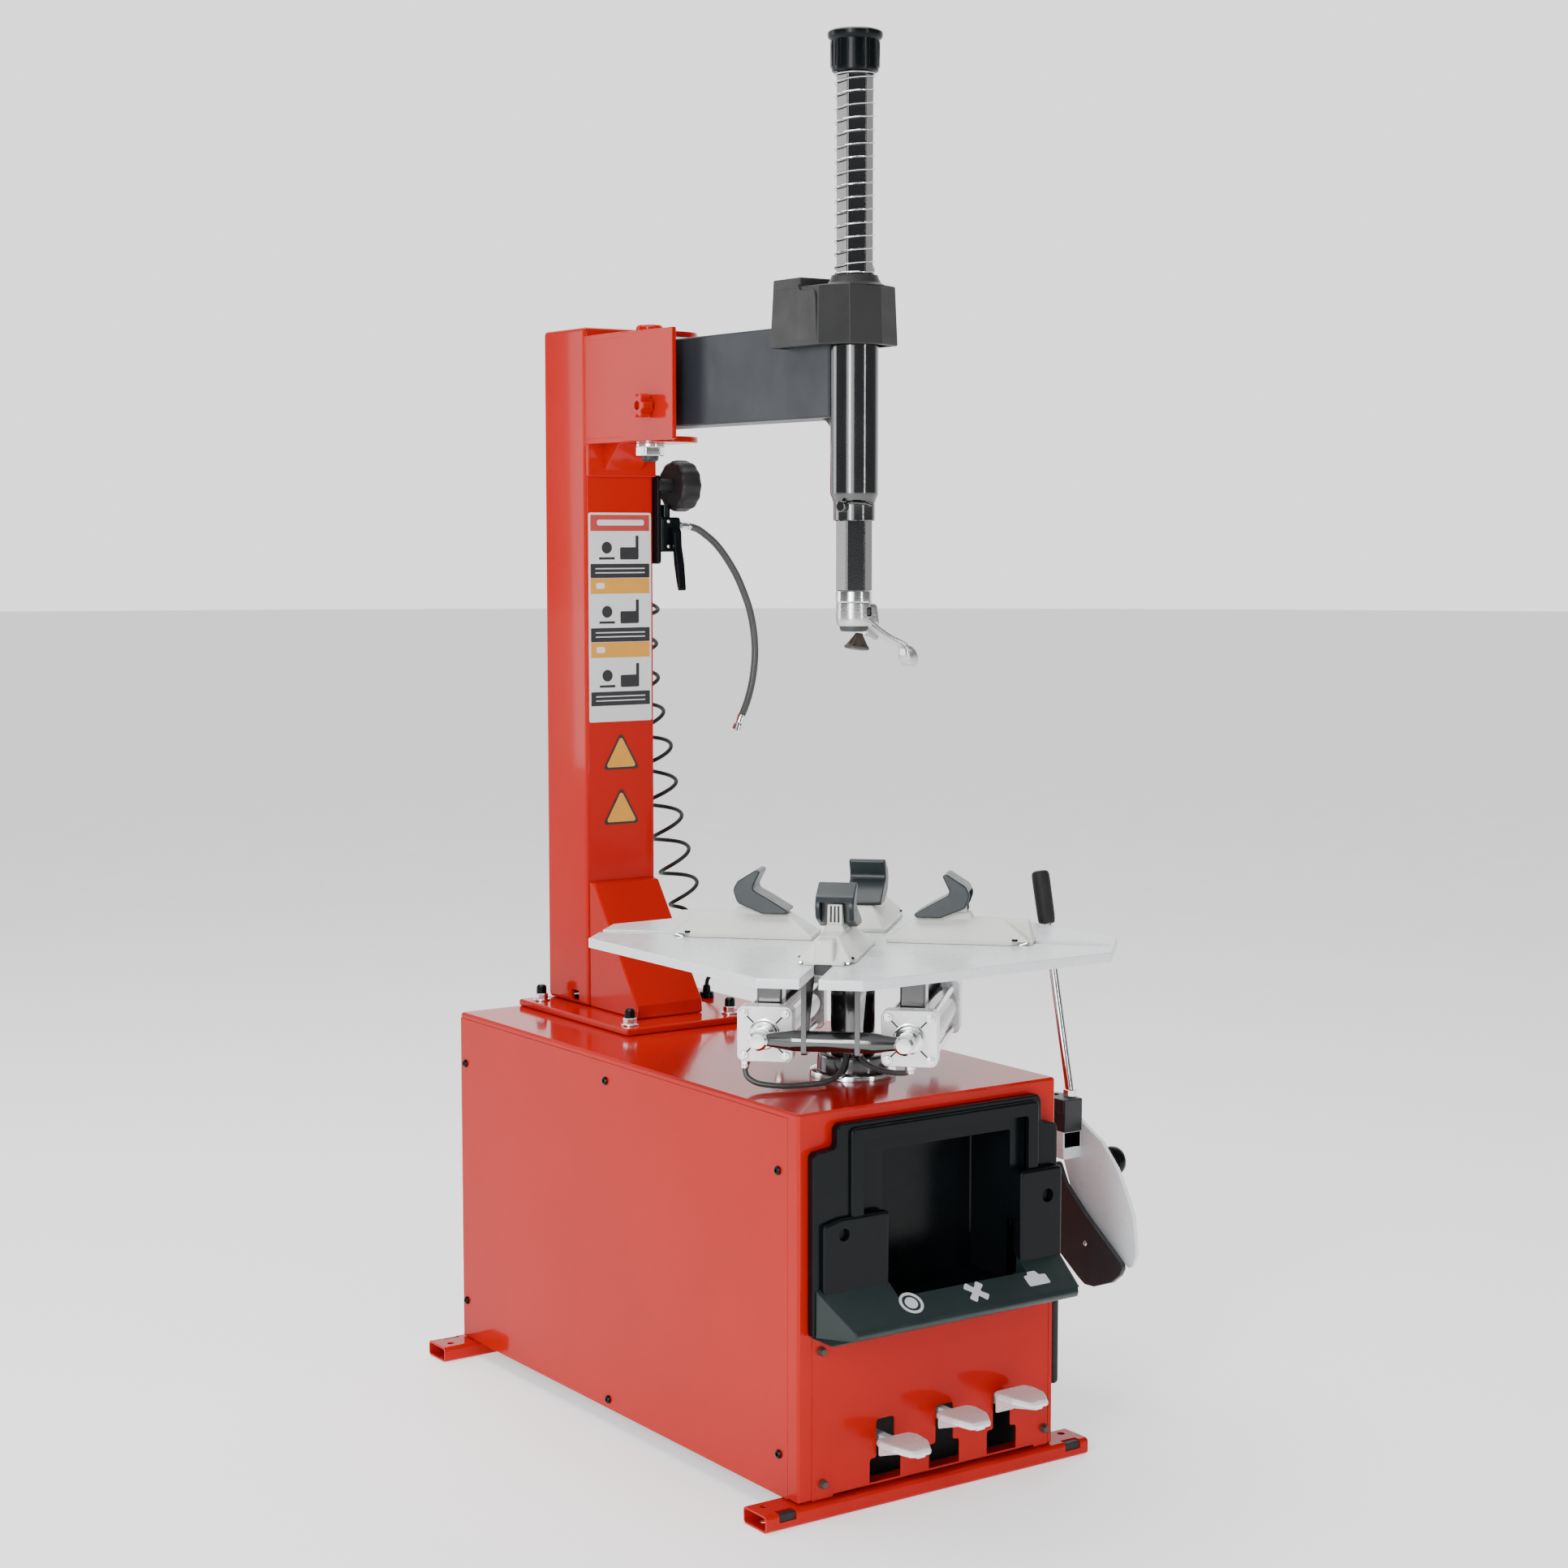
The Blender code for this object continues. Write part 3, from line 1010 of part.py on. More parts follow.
def main():
    global parts, cutters
    clear_scene()
    parts = collection("tire_changer")
    cutters = collection("cutters")
    frame = axis_empty("machine_frame", (0, 0, 0))
    swing = axis_empty("arm_swing_axis", (0, PIVOT_Y, 0), 0, frame)
    slide = axis_empty("shaft_axis", (0, TABLE_Y, 0), 0, swing)
    lever = axis_empty("lock_lever_axis", (0.0375, -0.222, COVER_TOP + 0.0088), 0, swing)
    table = axis_empty("turntable_axis", (0, TABLE_Y, 0), 0, frame)
    tips = [math.radians(225 + 90 * i) for i in range(4)]
    bar_axis = axis_empty("crossbar_axis", (0, TABLE_Y, 0), tips[0], table)
    jaws = [axis_empty(f"jaw_axis_{i + 1}", (0, TABLE_Y, 0), turn, table) for i, turn in enumerate(tips)]
    motor_axis = axis_empty("motor_axis", (0, -0.010, 0.240), 0, frame)
    worm_axis = axis_empty("worm_axis", (0, -0.205, 0.350), 0, frame)
    rod = axis_empty("breaker_rod_axis", (0, BREAKER_CYL_Y, BREAKER_Z), 0, frame)
    breaker = axis_empty("breaker_axis", (*BREAKER_HINGE, BREAKER_Z), 0, frame)
    blade = axis_empty("blade_axis", (*BREAKER_TIP, BREAKER_Z), 0, breaker)
    pedals = [axis_empty(f"pedal_axis_{i + 1}", (x, *PEDAL_SHAFT), 0, frame) for i, x in enumerate(PEDAL_X)]
    trigger = axis_empty("trigger_axis", TRIGGER_AT, 0, frame)

    build_cabinet(frame)
    build_tray(frame)
    build_column(frame)
    build_bracket(frame)
    build_arm(swing, slide, lever)
    build_table(table, bar_axis, jaws)
    build_drive(frame, motor_axis, worm_axis)
    build_breaker(frame, rod, breaker, blade)
    build_pedals(frame, pedals)
    build_inflator(frame, trigger)
    frame.location = (-OUTLINE_MID[0], -OUTLINE_MID[1], 0)


main()
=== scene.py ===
import json
import math

import bmesh
import bpy
from mathutils import Matrix, Vector

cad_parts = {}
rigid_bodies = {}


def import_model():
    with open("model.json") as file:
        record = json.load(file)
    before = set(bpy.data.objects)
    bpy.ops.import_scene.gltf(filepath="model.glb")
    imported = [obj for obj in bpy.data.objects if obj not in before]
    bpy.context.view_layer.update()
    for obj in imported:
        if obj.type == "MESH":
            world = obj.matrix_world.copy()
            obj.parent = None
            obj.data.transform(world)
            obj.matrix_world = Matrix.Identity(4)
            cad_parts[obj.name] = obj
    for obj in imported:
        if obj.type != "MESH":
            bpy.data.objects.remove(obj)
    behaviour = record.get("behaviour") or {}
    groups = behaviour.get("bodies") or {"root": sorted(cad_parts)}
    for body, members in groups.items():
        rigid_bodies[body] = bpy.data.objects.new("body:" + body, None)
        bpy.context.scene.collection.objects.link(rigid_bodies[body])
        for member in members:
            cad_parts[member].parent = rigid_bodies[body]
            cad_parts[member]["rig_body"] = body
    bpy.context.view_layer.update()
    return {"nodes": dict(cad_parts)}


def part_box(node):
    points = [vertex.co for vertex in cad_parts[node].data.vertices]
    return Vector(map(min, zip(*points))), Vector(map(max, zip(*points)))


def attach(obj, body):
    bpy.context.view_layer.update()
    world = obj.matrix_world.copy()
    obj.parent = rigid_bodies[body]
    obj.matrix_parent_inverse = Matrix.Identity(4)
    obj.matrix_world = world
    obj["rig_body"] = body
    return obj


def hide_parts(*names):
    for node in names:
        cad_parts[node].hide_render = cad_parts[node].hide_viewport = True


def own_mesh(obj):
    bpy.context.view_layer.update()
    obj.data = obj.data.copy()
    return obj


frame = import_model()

# Pieces are built in the cabinet's own frame: its origin is on the floor under the cabinet's middle,
# the operator stands on the -Y side and the bead breaker is at +X. Metres.
low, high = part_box("cabinet_shell")
SHIFT = Matrix.Translation(((low.x + high.x) / 2, (low.y + high.y) / 2, 0.0))


def cad_box(node):
    """A CAD node's corners in the cabinet's frame."""
    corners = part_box(node)
    return [corner - SHIFT.to_translation() for corner in corners]


FACE = cad_box("cabinet_shell")[0].y            # front of the cabinet
GAP = 0.0003                                    # clearance between pieces that meet
HALF_W, BACK, CAB_TOP = cad_box("cabinet_shell")[1]
BEAM_HALF, _, BEAM_H = cad_box("foot_beam_front")[1]
BEAM_OUT = FACE - cad_box("foot_beam_front")[0].y
BEAM_D = 0.05                                   # depth of a foot beam
PEDAL_X = (-0.069, 0.023, 0.115)
PEDAL_Z = (0.084, 0.101, 0.11)
PEDAL_SHAFT = (-0.3, 0.07)

COL_HALF = cad_box("column")[1].x
COL_FACE = cad_box("column")[0].y
COL_TOP = cad_box("column")[1].z
PLATE_TOP = cad_box("column_base_plate")[1].z
PIVOT_Y = 0.222                                 # the arm swings about this
PIVOT_BORE = 0.0125
BRACKET_LOW = 1.314
BRACKET_HIGH = 1.465
BRACKET_FRONT = 0.073

TABLE_Y = -0.262
TABLE_TOP = cad_box("turntable")[1].z
TABLE_LOW = cad_box("turntable")[0].z
SLOT_W = 0.0225
HUB_R = 0.0285
CYL_Z = 0.572                                   # height of the clamp cylinders
CYL_SIDE = 0.07
CYL_OFF = 0.09
CYL_REACH = 0.13
CAP_LONG = 0.024
ROD_R = 0.01
BAR_AT = 0.165
JAW_R = 0.15                                    # back of a jaw hook from the table's axis

ARM_HALF = 0.03
ARM_LOW = 1.333
ARM_HIGH = 1.451
SLEEVE_R = 0.0305
SLEEVE_LOW = 1.2345
COLLAR_R = 0.0265
COLLAR_LOW = 1.204
HEX_AF = 0.04
COVER_LOW = cad_box("lock_cover")[0].z
COVER_TOP = cad_box("lock_cover")[1].z
CAP_LOW = cad_box("shaft_cap")[0].z
CAP_TOP = cad_box("shaft_cap")[1].z
HEAD_TOP = cad_box("mount_head")[1].z

BREAKER_TIP = (0.3715, -0.222)
BREAKER_Z = 0.39

GAUGE_AT = Vector((0.084, 0.302, 1.257))
HOSE_D = 0.0105
HOSE_ROUTE = ((0.1148, 0.3, 1.1988), (0.129, 0.3, 1.195), (0.143, 0.2999, 1.1865), (0.158, 0.2998, 1.1755),
    (0.1725, 0.2996, 1.1605), (0.186, 0.2994, 1.143), (0.1985, 0.2992, 1.1235), (0.209, 0.299, 1.102),
    (0.218, 0.2988, 1.08), (0.224, 0.2986, 1.057), (0.2275, 0.2984, 1.033), (0.228, 0.2982, 1.009),
    (0.2255, 0.298, 0.985), (0.2205, 0.2978, 0.962), (0.213, 0.2976, 0.94), (0.204, 0.2974, 0.921),)
COIL_R = 0.0285
COIL_ROUTE = ((0.1, 0.404, 1.11), (0.095, 0.405, 1.06), (0.094, 0.405, 1.01), (0.098, 0.404, 0.96),
    (0.107, 0.402, 0.91), (0.118, 0.3995, 0.86), (0.1245, 0.398, 0.81), (0.133, 0.396, 0.76),
    (0.1435, 0.393, 0.71), (0.155, 0.389, 0.66), (0.164, 0.384, 0.615),)
LEAD_D = 0.006
FEED_ROUTE = ((0.085, 0.3504, 1.17), (0.0865, 0.364, 1.17), (0.0895, 0.38, 1.166), (0.094, 0.393, 1.156),
    (0.0975, 0.401, 1.142), (0.1, 0.4035, 1.127),)
LEAD_ROUTE = ((0.174, 0.379, 0.596), (0.183, 0.372, 0.582), (0.189, 0.361, 0.569), (0.19, 0.348, 0.559),
    (0.186, 0.335, 0.55), (0.177, 0.328, 0.542), (0.167, 0.326, 0.534), (0.161, 0.3265, 0.5265),
    (0.16, 0.327, 0.5195),)
GROMMET_AT = (0.16, 0.327)

TABLE_PLACE = Matrix.Translation((0, TABLE_Y, 0))
FINISH = {}                                     # name: (material, the record's slot)


# ---------------------------------------------------------------- camera, floor and light

def build_camera():
    camera = bpy.data.objects.new("camera", bpy.data.cameras.new("camera"))
    bpy.context.scene.collection.objects.link(camera)
    camera.data.lens = 62.34
    camera.data.sensor_width = 36.0
    camera.location = (-2.0869, -2.97695, 1.1881)
    yaw, pitch = math.radians(34.6652), math.radians(5.2641)
    ahead = Vector((math.sin(yaw) * math.cos(pitch), math.cos(yaw) * math.cos(pitch), -math.sin(pitch)))
    camera.rotation_euler = ahead.to_track_quat("-Z", "Y").to_euler()
    bpy.context.scene.camera = camera


def soft_light(name, place, aim, size, power):
    lamp = bpy.data.lights.new(name, "AREA")
    lamp.shape = "RECTANGLE"
    lamp.size, lamp.size_y = size
    lamp.energy = power
    obj = bpy.data.objects.new(name, lamp)
    bpy.context.scene.collection.objects.link(obj)
    obj.location = place
    obj.rotation_euler = (Vector(aim) - Vector(place)).to_track_quat("-Z", "Y").to_euler()
    obj.visible_camera = False


def build_studio():
    """A dim room with one bright end, a big overhead softbox and strips at the front and left."""
    world = bpy.data.worlds.new("studio")
    world.use_nodes = True
    tree = world.node_tree
    where = tree.nodes.new("ShaderNodeTexCoord").outputs["Generated"]
    toward = tree.nodes.new("ShaderNodeVectorMath")
    toward.operation = "DOT_PRODUCT"
    toward.inputs[1].default_value = (0.57, 0.82, 0.0)
    tree.links.new(where, toward.inputs[0])
    sky = tree.nodes["Background"]
    sky.inputs["Color"].default_value = (1.0, 1.0, 1.0, 1.0)
    tree.links.new(map_range(tree, toward.outputs["Value"], 0.35, 0.85, 0.17, 1.8), sky.inputs["Strength"])
    bpy.context.scene.world = world
    soft_light("overhead", (-0.5, 0.4, 4.2), (0, 0, 0.5), (3.0, 3.0), 170)
    soft_light("back_left", (-2.7, 3.2, 1.6), (0, 0.3, 1.1), (1.6, 2.2), 40)
    soft_light("front_left", (-3.1, -2.3, 1.7), (0, -0.2, 0.9), (2.4, 2.4), 58)
    soft_light("front_left_strip", (-3.0, -2.1, 1.7), (0, -0.2, 0.9), (0.55, 2.4), 66)
    soft_light("front_strip", (0.9, -4.0, 1.6), (0, -0.2, 1.0), (0.16, 2.4), 28)
    bm = bmesh.new()
    bmesh.ops.create_circle(bm, cap_ends=True, segments=64, radius=40.0)
    floor = shape(bm)
    floor.name = "floor"
    floor.location.z = -0.0005
    floor.data.materials.append(FINISH["floor"][0])
    glow = FINISH["floor"][0].node_tree.nodes["Principled BSDF"]
    glow.inputs["Emission Color"].default_value = (1.0, 1.0, 1.0, 1.0)
    glow.inputs["Emission Strength"].default_value = 0.68


# ---------------------------------------------------------------- finishes

def add_noise(tree, where, scale, detail=3.0, stretch=None):
    if stretch:
        mapping = tree.nodes.new("ShaderNodeMapping")
        mapping.inputs["Scale"].default_value = stretch
        tree.links.new(where, mapping.inputs["Vector"])
        where = mapping.outputs["Vector"]
    noise = tree.nodes.new("ShaderNodeTexNoise")
    noise.inputs["Scale"].default_value = scale
    noise.inputs["Detail"].default_value = detail
    tree.links.new(where, noise.inputs["Vector"])
    return noise.outputs["Fac"]


def map_range(tree, value, low, high, start, end):
    node = tree.nodes.new("ShaderNodeMapRange")
    for name, number in (("From Min", low), ("From Max", high), ("To Min", start), ("To Max", end)):
        node.inputs[name].default_value = number
    tree.links.new(value, node.inputs["Value"])
    return node.outputs["Result"]


def mix_colour(tree, factor, first, second):
    node = tree.nodes.new("ShaderNodeMix")
    node.data_type = "RGBA"
    tree.links.new(factor, node.inputs[0])
    for socket, colour in ((node.inputs[6], first), (node.inputs[7], second)):
        if isinstance(colour, tuple):
            socket.default_value = (*colour, 1.0)
        else:
            tree.links.new(colour, socket)
    return node.outputs[2]


def finish(name, slot, colour, rough, metal=0.0, mottle=0.07, patch=6.0, grain=0.05, grain_size=0.0012,
        coat=0.0, gloss=0.5, stretch=None):
    """A finish with cloudy colour, uneven gloss and a fine surface grain."""
    mat = bpy.data.materials.new(name)
    mat.use_nodes = True
    tree = mat.node_tree
    shader = tree.nodes["Principled BSDF"]
    shader.inputs["Metallic"].default_value = metal
    shader.inputs["Specular IOR Level"].default_value = gloss
    shader.inputs["Coat Weight"].default_value = coat
    shader.inputs["Coat Roughness"].default_value = 0.05
    where = tree.nodes.new("ShaderNodeTexCoord").outputs["Object"]
    cloud = map_range(tree, add_noise(tree, where, patch, 4.0, stretch), 0.3, 0.7, 0.0, 1.0)
    dark = tuple(c * (1 - mottle) for c in colour)
    light = tuple(min(1.0, c * (1 + mottle)) for c in colour)
    tree.links.new(mix_colour(tree, cloud, dark, light), shader.inputs["Base Color"])
    uneven = add_noise(tree, where, patch * 4, 5.0, stretch)
    tree.links.new(map_range(tree, uneven, 0.25, 0.75, rough * 0.82, min(1.0, rough * 1.2)),
        shader.inputs["Roughness"])
    bump = tree.nodes.new("ShaderNodeBump")
    bump.inputs["Strength"].default_value = grain
    bump.inputs["Distance"].default_value = grain_size
    tree.links.new(add_noise(tree, where, 1.0 / grain_size, 2.0), bump.inputs["Height"])
    tree.links.new(bump.outputs["Normal"], shader.inputs["Normal"])
    FINISH[name] = (mat, slot)


def build_finishes():
    finish("red", "red_paint", (0.44, 0.0075, 0.004), 0.13, mottle=0.05, patch=4.0, grain=0.03,
        grain_size=0.0022, coat=0.2, gloss=0.05)
    finish("black_gloss", "black_paint", (0.005, 0.006, 0.007), 0.13, mottle=0.15, grain=0.02,
        grain_size=0.002, coat=0.6, gloss=0.95)
    finish("slate", "black_paint", (0.02, 0.024, 0.03), 0.34, mottle=0.06, grain=0.05, grain_size=0.0015,
        gloss=0.18)
    finish("silver", "silver_paint", (0.74, 0.78, 0.8), 0.26, 0.12, mottle=0.03, patch=9.0, grain=0.015)
    finish("shovel", "silver_paint", (0.86, 0.94, 0.97), 0.3, 0.0, mottle=0.03, patch=7.0, grain=0.05)
    finish("casting_white", "silver_paint", (0.7, 0.71, 0.65), 0.36, 0.0, mottle=0.04, patch=12.0,
           grain=0.05)
    finish("charcoal", "black_paint", (0.022, 0.024, 0.027), 0.42, mottle=0.1, patch=18.0, grain=0.12,
           gloss=0.4)
    finish("plastic", "black_plastic", (0.003, 0.0045, 0.0055), 0.2, mottle=0.18, patch=14.0, grain=0.06,
        grain_size=0.0008, gloss=0.14)
    finish("shelf", "black_plastic", (0.012, 0.022, 0.022), 0.36, mottle=0.15, patch=14.0, grain=0.1,
        grain_size=0.0008, gloss=0.35)
    finish("cover", "black_plastic", (0.026, 0.0262, 0.0267), 0.42, mottle=0.05, patch=10.0, grain=0.14,
        grain_size=0.0009, gloss=0.22)
    finish("jaw", "grey_plastic", (0.014, 0.021, 0.024), 0.34, mottle=0.08, patch=22.0, grain=0.14,
        grain_size=0.0009, gloss=0.45)
    finish("rubber", "rubber", (0.009, 0.009, 0.01), 0.55, mottle=0.22, patch=40.0, grain=0.2,
        grain_size=0.001, gloss=0.35)
    finish("hose", "rubber", (0.045, 0.049, 0.048), 0.36, mottle=0.15, patch=30.0, grain=0.08,
           grain_size=0.0012)
    finish("cast", "cast_aluminium", (0.88, 0.89, 0.9), 0.26, 0.2, mottle=0.04, patch=9.0, grain=0.03,
        grain_size=0.0022)
    finish("bright", "zinc", (0.8, 0.81, 0.82), 0.14, 1.0, mottle=0.06, patch=40.0, grain=0.06)
    finish("steel", "steel", (0.62, 0.63, 0.65), 0.22, 1.0, mottle=0.08, patch=30.0, grain=0.1,
        stretch=(1.0, 1.0, 0.15))
    finish("head", "cast_head", (0.54, 0.54, 0.55), 0.22, 0.9, mottle=0.1, patch=25.0, grain=0.06,
        grain_size=0.003)
    finish("head_dark", "cast_head", (0.05, 0.05, 0.055), 0.4, 0.5, mottle=0.25, patch=60.0, grain=0.3)
    finish("grey", "grey_paint", (0.1, 0.11, 0.12), 0.45, mottle=0.1, grain=0.12)
    finish("brown", "black_plastic", (0.045, 0.034, 0.028), 0.42, mottle=0.3, patch=60.0, grain=0.2)
    finish("paper", "silver_paint", (0.66, 0.68, 0.7), 0.4, mottle=0.02, patch=30.0, grain=0.02)
    finish("print_black", "black_paint", (0.012, 0.012, 0.014), 0.4, mottle=0.1, patch=60.0, grain=0.02)
    finish("print_red", "red_paint", (0.42, 0.035, 0.03), 0.4, mottle=0.04, patch=40.0, grain=0.02)
    finish("print_amber", "silver_paint", (0.68, 0.3, 0.025), 0.4, mottle=0.05, patch=40.0, grain=0.02)
    finish("floor", None, (0.9, 0.9, 0.9), 0.6, mottle=0.01, patch=2.0, grain=0.02, gloss=0.2)


# ---------------------------------------------------------------- shapes

def shape(bm):
    bmesh.ops.recalc_face_normals(bm, faces=bm.faces)
    mesh = bpy.data.meshes.new("shape")
    bm.to_mesh(mesh)
    bm.free()
    obj = bpy.data.objects.new("shape", mesh)
    bpy.context.scene.collection.objects.link(obj)
    return obj


def bevel(obj, width, segments=3, angle=35):
    modifier = obj.modifiers.new("edges", "BEVEL")
    modifier.width = width
    modifier.segments = segments
    modifier.limit_method = "ANGLE"
    modifier.angle_limit = math.radians(angle)
    return obj


def cut(obj, *tools):
    for tool in tools:
        modifier = obj.modifiers.new("cut", "BOOLEAN")
        modifier.operation = "DIFFERENCE"
        modifier.solver = "EXACT"
        modifier.object = tool
    return obj


def block(low, high, edge=0.0, taper=None, segments=3):
    """A box between two corners; taper scales its top face in X and Y, and edge is its rounding."""
    bm = bmesh.new()
    bmesh.ops.create_cube(bm, size=1.0)
    size = [h - l for l, h in zip(low, high)]
    middle = [(h + l) / 2 for l, h in zip(low, high)]
    for vert in bm.verts:
        if taper and vert.co.z > 0:
            vert.co.x *= taper[0]
            vert.co.y *= taper[1]
        vert.co = Vector(c * s + m for c, s, m in zip(vert.co, size, middle))
    obj = shape(bm)
    return bevel(obj, edge, segments) if edge else obj


def facing(direction):
    """Matrix that turns a piece built along +Z to a direction."""
    return Vector(direction).to_track_quat("Z", "Y").to_matrix().to_4x4()


def bar(start, end, radius, end_radius=None, sides=48, edge=0.0, turn=0.0):
    """A round bar, cone or hexagon between two points."""
    start, end = Vector(start), Vector(end)
    bm = bmesh.new()
    bmesh.ops.create_cone(bm, cap_ends=True, segments=sides, radius1=radius,
        radius2=radius if end_radius is None else end_radius, depth=(end - start).length)
    place = Matrix.Translation((start + end) / 2) @ facing(end - start)
    bmesh.ops.transform(bm, matrix=place @ Matrix.Rotation(turn, 4, "Z"), verts=bm.verts)
    obj = shape(bm)
    return bevel(obj, edge, 3, 50) if edge else obj


def turned(profile, base=(0, 0, 0), axis=None, steps=64):
    """A piece turned from a profile of (radius, height), standing on base along axis."""
    bm = bmesh.new()
    verts = [bm.verts.new((radius, 0.0, height)) for radius, height in profile]
    edges = [bm.edges.new(pair) for pair in zip(verts, verts[1:])]
    bmesh.ops.spin(bm, geom=verts + edges, cent=(0, 0, 0), axis=(0, 0, 1), angle=2 * math.pi, steps=steps,
        use_merge=True)
    bmesh.ops.remove_doubles(bm, verts=bm.verts, dist=0.000005)
    place = Matrix.Translation(base) @ (facing(axis) if axis else Matrix.Identity(4))
    bmesh.ops.transform(bm, matrix=place, verts=bm.verts)
    return shape(bm)


def prism(outline, plane, low, high, edge=0.0, segments=3):
    """A flat outline in a plane (XY, YZ or XZ), as thick as from low to high."""
    put = {"XY": lambda a, b, t: (a, b, t), "YZ": lambda a, b, t: (t, a, b), "XZ": lambda a, b,
           t: (a, t, b)}[plane]
    bm = bmesh.new()
    base = bm.faces.new([bm.verts.new(put(a, b, low)) for a, b in outline])
    grown = bmesh.ops.extrude_face_region(bm, geom=[base])
    lift = Vector(put(0, 0, high - low))
    bmesh.ops.translate(bm, vec=lift, verts=[g for g in grown["geom"] if isinstance(g, bmesh.types.BMVert)])
    obj = shape(bm)
    return bevel(obj, edge, segments, 50) if edge else obj


def rounded(outline, radius, steps=6):
    """The outline with its corners turned into arcs; radius is one number, or one for each corner."""
    radii = radius if isinstance(radius, (list, tuple)) else [radius] * len(outline)
    result = []
    for index, corner in enumerate(outline):
        here = Vector(corner)
        before = Vector(outline[index - 1]) - here
        after = Vector(outline[(index + 1) % len(outline)]) - here
        half = before.angle(after) / 2
        reach = min(radii[index] / math.tan(half), 0.48 * before.length, 0.48 * after.length)
        if reach < 0.00005 or half > math.radians(88):
            result.append(tuple(here))
            continue
        true_radius = reach * math.tan(half)
        inward = (before.normalized() + after.normalized()).normalized()
        middle = here + inward * (true_radius / math.sin(half))
        first = here + before.normalized() * reach - middle
        last = here + after.normalized() * reach - middle
        sweep_angle = first.angle(last)
        for step in range(steps + 1):
            part = step / steps
            arm = first * math.sin((1 - part) * sweep_angle) + last * math.sin(part * sweep_angle)
            result.append(tuple(middle + arm / math.sin(sweep_angle)))
    return result


def arc(middle, radius, start, end, steps):
    turns = [math.radians(start + (end - start) * i / steps) for i in range(steps + 1)]
    return [(middle[0] + radius * math.cos(t), middle[1] + radius * math.sin(t)) for t in turns]


def ring(radius, sides=12):
    return [(radius * math.cos(2 * math.pi * k / sides),
            radius * math.sin(2 * math.pi * k / sides)) for k in range(sides)]


def rectangle(x0, y0, x1, y1):
    return (x0, y0), (x1, y0), (x1, y1), (x0, y1)


def star(count, corners, middle=(0, 0)):
    """An outline that repeats its (degrees, radius) corners count times round the middle."""
    return [(middle[0] + r * math.cos(math.radians(a + 360 / count * k)),
            middle[1] + r * math.sin(math.radians(a + 360 / count * k))) for k in range(count) for a,
            r in corners]


def close_rows(bm, rows):
    """A closed solid through equal rows of corners."""
    for row, after in zip(rows, rows[1:]):
        for k in range(len(row)):
            bm.faces.new((row[k - 1], row[k], after[k], after[k - 1]))
    bm.faces.new(rows[0])
    bm.faces.new(rows[-1])
    return shape(bm)


def stack(outline, levels):
    """A solid through copies of an outline, one for each (scale, height)."""
    bm = bmesh.new()
    return close_rows(bm, [[bm.verts.new((a * scale, b * scale, height)) for a, b in outline] for scale,
            height in levels])


def sweep(points, outline, sizes=None, across=None):
    """A closed solid drawn along points; across is a direction that the outline's first axis keeps to."""
    points = [Vector(p) for p in points]
    sizes = sizes or [(1.0, 1.0)] * len(points)
    bm = bmesh.new()
    rows = []
    normal = Vector(across) if across else None
    for index, point in enumerate(points):
        tangent = (points[min(index + 1, len(points) - 1)] - points[max(index - 1, 0)]).normalized()
        if normal is None:
            normal = tangent.orthogonal()
        normal = (normal - tangent * normal.dot(tangent)).normalized()
        side = tangent.cross(normal)
        wide, thick = sizes[index]
        rows.append([bm.verts.new(point + normal * a * wide + side * b * thick) for a, b in outline])
    return close_rows(bm, rows)


def smooth_route(points, spacing):
    """Points about a spacing apart on a smooth curve through the given ones."""
    route = [Vector(p) for p in points]
    ends = [2 * route[0] - route[1], *route, 2 * route[-1] - route[-2]]
    dense = []
    for p0, p1, p2, p3 in zip(ends, ends[1:], ends[2:], ends[3:]):
        count = max(1, round((p2 - p1).length / spacing))
        for i in range(count):
            t = i / count
            dense.append(0.5 * (2 * p1 + (p2 - p0) * t + (2 * p0 - 5 * p1 + 4 * p2 - p3) * t ** 2
                + (3 * p1 - p0 - 3 * p2 + p3) * t ** 3))
    return dense + [route[-1]]


def measure(points):
    return sum((b - a).length for a, b in zip(points, points[1:]))


def settle(name, shapes, body, look, *nodes, place=None, crisp=32):
    """Joins shapes into one piece in world coordinates, gives it a finish and hangs it on a body."""
    shapes = shapes if isinstance(shapes, (list, tuple)) else [shapes]
    graph = bpy.context.evaluated_depsgraph_get()
    bm = bmesh.new()
    for item in shapes:
        mesh = bpy.data.meshes.new_from_object(item.evaluated_get(graph), depsgraph=graph)
        bm.from_mesh(mesh)
        bpy.data.meshes.remove(mesh)
    bmesh.ops.transform(bm, matrix=SHIFT @ (place or Matrix.Identity(4)), verts=bm.verts)
    mesh = bpy.data.meshes.new(name)
    bm.to_mesh(mesh)
    bm.free()
    for item in shapes:
        for modifier in list(item.modifiers):
            if modifier.type == "BOOLEAN":
                bpy.data.objects.remove(modifier.object, do_unlink=True)
        bpy.data.objects.remove(item, do_unlink=True)
    mesh.shade_smooth()
    mesh.set_sharp_from_angle(angle=math.radians(crisp))
    material, slot = FINISH[look]
    mesh.materials.clear()
    mesh.materials.append(material)
    piece = bpy.data.objects.new(name, mesh)
    bpy.context.scene.collection.objects.link(piece)
    even = piece.modifiers.new("even_shading", "WEIGHTED_NORMAL")
    even.keep_sharp = True
    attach(piece, body)
    if nodes:
        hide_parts(*nodes)
    return piece


